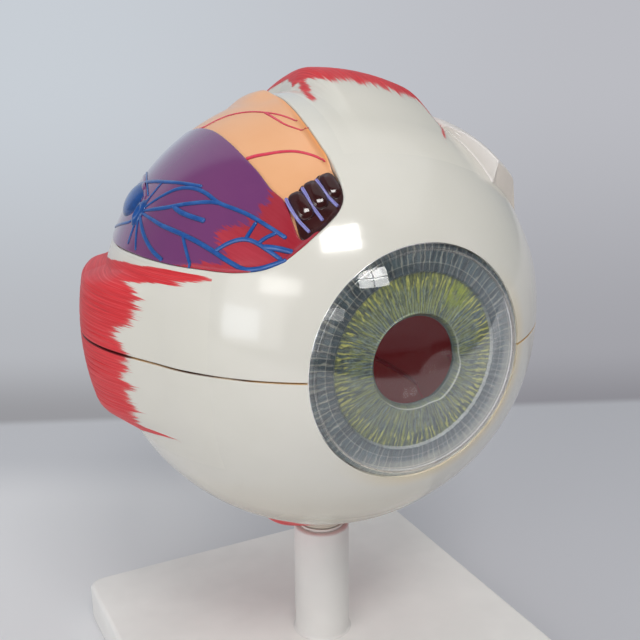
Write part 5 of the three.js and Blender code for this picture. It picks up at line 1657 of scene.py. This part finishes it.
def make_pegs():
    """Three round pegs that line the two halves up."""
    for k in (1, 2, 3):
        low, high = box_mm(f"seam_peg_{k}")
        profile = [(0, low[2]), (1, low[2]), (1, high[2] - 0.6), (0.85, high[2] - 0.2), (0.55, high[2]),
                   (0, high[2])]
        peg = Shape().turned(profile, 32, about_post)
        peg.points[0][:, :2] += (low[:2] + high[:2]) / 2
        peg.build(f"seam_peg_{k}_round", "nylon", "globe_lower", "nylon", f"seam_peg_{k}", raised=False,
                  edge=50)


def box_grid(shape, dx, dy, low, high):
    """A rib: a box as one closed sleeve with its ends drawn shut."""
    ring = np.array([(-dx, -dy), (dx, -dy), (dx, dy), (-dx, dy), (-dx, -dy)], float)
    rows = [ring * 0, ring, ring, ring * 0]
    heights = [low, low, high, high]
    shape.grid(np.array([np.column_stack([r, np.full(5, z)]) for r, z in zip(rows, heights)]))


# Stage


PALE_AIR = rgb(194, 204, 215)
FRONT_SHADE = rgb(62, 62, 64)

# The photo's camera: its place from the globe's centre in millimetres, the focal length in pixels
# of a frame 640 wide, and the sensor's width in millimetres
CAMERA_PLACE = (-149.65, -299.80, 101.23)
FOCAL_PIXELS, FRAME_PIXELS, SENSOR = 991.9, 640, 36

# Soft lamps and small windows: place from the globe's centre in metres, width, height, power, colour
LAMPS = {
    "soft_top": ((0.5, -0.2, 1.6), 1.6, 1.6, 4.0, (0.97, 0.985, 1.0)),
    "soft_left": ((-1.5, -0.9, 0.45), 1.0, 1.2, 4.9, (1.0, 0.985, 0.97)),
    "side_window": ((-0.7183, -0.6853, 0.4741), 0.37, 0.15, 0.75, (1.0, 0.99, 0.96)),
    "far_window": ((-0.9845, -0.4741, 0.1287), 0.36, 0.27, 0.8, (0.82, 0.9, 1.0)),
}


def make_floor():
    """A level grid of 8 by 8 squares just under the base plate."""
    s = np.linspace(-4, 4, 9)
    x, y = np.meshgrid(s, s, indexing="ij")
    points = np.stack([x, y, np.full_like(x, -0.0002)], -1).reshape(-1, 3)
    corner = (np.arange(8)[:, None] * 9 + np.arange(8)).ravel()
    quads = np.stack([corner, corner + 9, corner + 10, corner + 1], 1)
    mesh = bpy.data.meshes.new("studio_floor")
    mesh.from_pydata(points.tolist(), [], quads.tolist())
    floor = bpy.data.objects.new("studio_floor", mesh)
    bpy.context.scene.collection.objects.link(floor)
    mesh.materials.append(floor_finish())


def lamp(name, place, target, wide, tall, power, colour):
    """A rectangular lamp that faces the target."""
    light = bpy.data.lights.new(name, "AREA")
    light.shape, light.size, light.size_y = "RECTANGLE", wide, tall
    light.energy, light.color = power * bpy.context.scene.eye_sizes.light_level, colour
    made = bpy.data.objects.new(name, light)
    made.location = place
    made.rotation_mode = "QUATERNION"
    made.rotation_quaternion = (target - place).to_track_quat("-Z", "Y")
    bpy.context.scene.collection.objects.link(made)


def make_lamps():
    """The key lamp is a window of two by two panes; the others stand in LAMPS."""
    hub = Vector((0, 0, CENTRE * MM))
    key = Vector((-0.133, -0.648, 0.75)).normalized()
    right = key.cross(Vector((0, 0, 1))).normalized()
    up = right.cross(key)
    for i in (-1, 1):
        for j in (-1, 1):
            spot = hub + key * 1.1 + right * (0.091 * i) + up * (0.062 * j)
            lamp(f"window_pane_{i + 1}_{j + 1}", spot, hub, 0.172, 0.114, 0.92, (1.0, 0.99, 0.97))
    for name, (place, *given) in LAMPS.items():
        lamp(name, hub + Vector(place), hub, *given)


def make_camera():
    """Camera at the photo's place, turned by VIEW_TURN, tilted down by VIEW_TILT and rolled."""
    scene = bpy.context.scene
    tilt, roll = math.radians(VIEW_TILT), math.radians(VIEW_ROLL)
    back = Vector((-SIGHT[0] * math.cos(tilt), -SIGHT[1] * math.cos(tilt), math.sin(tilt)))
    flat = Vector((*RIGHT, 0))
    tall = flat.cross(-back)
    side = flat * math.cos(roll) + tall * math.sin(roll)
    tall = tall * math.cos(roll) - flat * math.sin(roll)
    camera = bpy.data.objects.new("photo_camera", bpy.data.cameras.new("photo_camera"))
    scene.collection.objects.link(camera)
    spot = Vector((0, 0, CENTRE * MM)) + Vector(CAMERA_PLACE) * MM
    camera.matrix_world = Matrix.Translation(spot) @ Matrix((side, tall, back)).transposed().to_4x4()
    camera.data.sensor_width = SENSOR
    camera.data.lens = FOCAL_PIXELS / FRAME_PIXELS * SENSOR
    camera.data.clip_start, camera.data.clip_end = 0.01, 50
    scene.camera = camera
    scene.view_settings.view_transform = "Standard"


def wall_colour(nodes, ahead, across, drop):
    """Colour of the far wall by the slope of a line of sight from the place of the photo: it is
    pale and bluish at the upper left, greyer to the right and darker towards the table's edge."""
    slope = nodes.math("DIVIDE", drop, nodes.math("MAXIMUM", ahead, 0.01))
    turn = nodes.soft(nodes.math("DIVIDE", across, nodes.math("MAXIMUM", ahead, 0.01)), -0.3, 0.28)
    low = nodes.soft(slope, 0.06, 0.38)
    left = nodes.mix(low, rgb(200, 206, 213), rgb(181, 183, 188))
    right = nodes.mix(low, rgb(187, 188, 194), rgb(162, 162, 168))
    tone = nodes.mix(turn, left, right)
    dark = nodes.mix(turn, rgb(153, 153, 157), rgb(139, 138, 144))
    return nodes.mix(nodes.soft(slope, 0.345, 0.425), tone, dark)


def seen_by(nodes, *kinds):
    """1 for rays of the given kinds, else 0."""
    path = nodes.tree.nodes.new("ShaderNodeLightPath").outputs
    return nodes.math("MINIMUM", nodes.plus(*(path[kind] for kind in kinds)), 1.0)


def floor_finish():
    """Pale grey table that ends 0.25 m behind the globe, where the far wall's colour begins. It is
    painted lighter on the left than on the right and paler still at the near left: painted light.
    In the object's gloss it glows white in front, a painted reflection, and ends 0.55 m in front,
    where the room is dark."""
    finish = Finish("pale_floor", roughness=0.6)
    x, y, _ = finish.axes(finish.place())
    along, across = finish.along(x, y, SIGHT), finish.along(x, y, RIGHT)
    # Painted light: lighter on the left than on the right, and paler still at the near left
    base = finish.mix(finish.soft(across, -0.2, 0.25), rgb(206, 206, 210), rgb(198, 198, 203))
    near = finish.times(finish.fall(along, 0.13, 0.19), finish.fall(across, -0.09, 0.0))
    finish.set("base color", finish.mix(near, base, rgb(229, 228, 230)))

    def emission(colour):
        return finish.node("ShaderNodeEmission", {"Color": colour, "Strength": 1.0})

    def laid(share, rays, one, two):
        """The second shader over the first, for a share of the surface and for some rays only."""
        share = finish.times(share, seen_by(finish, *rays))
        return finish.node("ShaderNodeMixShader", {0: share, 1: one, 2: two})

    edge = finish.soft(finish.minus(along, finish.times(across, 0.069)), 0.243, 0.256)
    wall = wall_colour(finish, finish.plus(along, 0.335), across, 0.246)
    seen, gloss = ("Is Camera Ray", "Is Glossy Ray", "Is Transmission Ray"), ("Is Glossy Ray",)
    blend = laid(edge, seen, finish.shader.outputs[0], emission(wall))
    # Painted reflection: in gloss, the floor in front glows white
    blend = laid(finish.fall(y, -0.22, -0.12), gloss, blend, emission((1.0, 0.98, 1.0)))
    blend = laid(finish.fall(y, -0.62, -0.48), gloss, blend, emission(FRONT_SHADE))
    finish.tree.links.new(blend, finish.tree.nodes["Material Output"].inputs["Surface"])
    return finish.material


def studio_air():
    """Soft light from all round. Straight on, it shows the far wall. In the object's gloss it is
    pale at the back and darker to the sides and in front."""
    world = bpy.data.worlds.new("studio_air")
    world.use_nodes = True
    air = Nodes(world.node_tree)
    x, y, z = air.axes(air.node("ShaderNodeTexCoord", output=0))
    back = air.math("DIVIDE", y, air.length(air.vector(x, y, 0.0)))
    gloss = air.mix(air.fall(back, 0.80, 0.90), PALE_AIR, tinted(PALE_AIR, 0.42))
    gloss = air.mix(air.fall(back, -0.75, -0.45), gloss, FRONT_SHADE)
    wall = wall_colour(air, air.along(x, y, SIGHT), air.along(x, y, RIGHT), air.times(z, -1.0))
    tone = air.mix(seen_by(air, "Is Glossy Ray"), (0.45, 0.465, 0.48), gloss)
    tone = air.mix(seen_by(air, "Is Camera Ray", "Is Transmission Ray"), tone, wall)
    world.node_tree.links.new(tone, world.node_tree.nodes["Background"].inputs[0])
    bpy.context.scene.world = world


# Add-on


def size(name, about, default):
    """A length that a user may change, in metres."""
    return FloatProperty(name=name, description=about, default=default, unit="LENGTH", subtype="DISTANCE")


def colour(name, about, *steps):
    """A colour that a user may change, given in display steps."""
    return FloatVectorProperty(name=name, description=about, subtype="COLOR", size=3, min=0, max=1,
                               default=rgb(*steps))


class EyeSizes(bpy.types.PropertyGroup):
    """Sizes of the dressed pieces, and the lamps' level"""

    window_round: size("Window rounding", "Round of the window's outer edge", 0.0007)
    cornea_rise: size("Cornea rise", "Height of the clear dome above the globe's front opening", 0.014)
    cornea_wall: size("Cornea wall", "Thickness of the clear dome", 0.0022)
    pupil_radius: size("Pupil radius", "Radius of the opening in the iris", 0.0136)
    base_round: size("Base rounding", "Round of the base plate's upper edge", 0.0018)
    light_level: FloatProperty(name="Light level", description="Share of the studio lamps' full power",
                               default=1.0, min=0)


class EyeColours(bpy.types.PropertyGroup):
    """Colours of the mouldings and the paints"""

    ivory: colour("Ivory", "Sclera, tendons and nerve sheath", 219, 215, 205)
    stand: colour("Stand", "Base plate and post", 243, 240, 236)
    muscle: colour("Muscle", "Painted muscle bellies", 212, 50, 56)
    choroid: colour("Choroid", "Choroid away from its front", 116, 52, 108)
    choroid_red: colour("Choroid front", "Red front and lower edge of the choroid", 176, 40, 56)
    retina: colour("Retina", "Outer face of the retina", 238, 178, 130)
    vein: colour("Veins", "Vein net on the choroid", 22, 78, 152)
    artery: colour("Arteries", "Vessels on the retina", 222, 62, 84)
    ciliary: colour("Ciliary body", "Lobes and folded rays", 50, 20, 20)
    ridge: colour("Ridges", "Pale ribs beside the lobes", 150, 150, 214)


def step(name, label, about, *makers):
    """An operator that makes some of the pieces and can be undone."""

    def execute(self, context):
        for make in makers:
            make()
        return {"FINISHED"}

    return type(f"EYE_OT_{name}", (bpy.types.Operator,), {
        "bl_idname": f"eye_model.{name}", "bl_label": label, "bl_description": about,
        "bl_options": {"REGISTER", "UNDO"}, "execute": execute})


OPERATORS = (
    step("stage", "Studio", "Floor, lamps and camera", make_floor, studio_air, make_lamps, make_camera),
    step("stand", "Stand", "Base plate, post, pin, bush, washer and seam pegs", make_base_plate,
         make_post, make_swivel, make_pegs),
    step("sclera", "Sclera", "White outer wall in two halves, with the window", make_sclera_upper,
         make_sclera_lower),
    step("layers", "Choroid and Retina", "Choroid and retina in two halves each", make_layers),
    step("veins", "Vein Net", "Vein net on the choroid", make_veins),
    step("ciliary", "Ciliary Body", "Folded ring round the lens and the lobes in the window",
         make_ciliary, make_lobes),
    step("iris", "Iris", "Iris disc", make_iris),
    step("cornea", "Cornea", "Clear dome over the iris", make_cornea),
    step("lens", "Lens and Vitreous Body", "Lens, its threads and the vitreous body", make_lens,
         make_zonule, make_vitreous),
    step("muscles", "Straight Muscles", "Four straight muscles", make_muscles),
    step("obliques", "Oblique Tendons", "Two oblique tendons", make_obliques),
    step("nerve", "Optic Nerve", "Optic nerve and its sheath", make_nerve),
)


class EYE_PT_panel(bpy.types.Panel):
    """Buttons for each piece and the sizes and colours"""

    bl_idname = "EYE_PT_panel"
    bl_label = "Eye Model"
    bl_space_type = "VIEW_3D"
    bl_region_type = "UI"
    bl_category = "Eye Model"

    def draw(self, context):
        for operator in OPERATORS:
            self.layout.operator(operator.bl_idname)
        for group in (context.scene.eye_sizes, context.scene.eye_colours):
            for name in group.bl_rna.properties.keys():
                if name not in {"rna_type", "name"}:
                    self.layout.prop(group, name)


CLASSES = (EyeSizes, EyeColours, *OPERATORS, EYE_PT_panel)


def register():
    """Makes the classes and the scene's two groups of settings known."""
    for cls in CLASSES:
        bpy.utils.register_class(cls)
    bpy.types.Scene.eye_sizes = PointerProperty(type=EyeSizes)
    bpy.types.Scene.eye_colours = PointerProperty(type=EyeColours)


def unregister():
    """Takes them away again, last one first."""
    del bpy.types.Scene.eye_colours
    del bpy.types.Scene.eye_sizes
    for cls in reversed(CLASSES):
        bpy.utils.unregister_class(cls)


def main():
    """Builds the stage and every piece."""
    register()
    for operator in OPERATORS:
        group, name = operator.bl_idname.split(".")
        getattr(getattr(bpy.ops, group), name)()


if __name__ == "__main__":
    main()
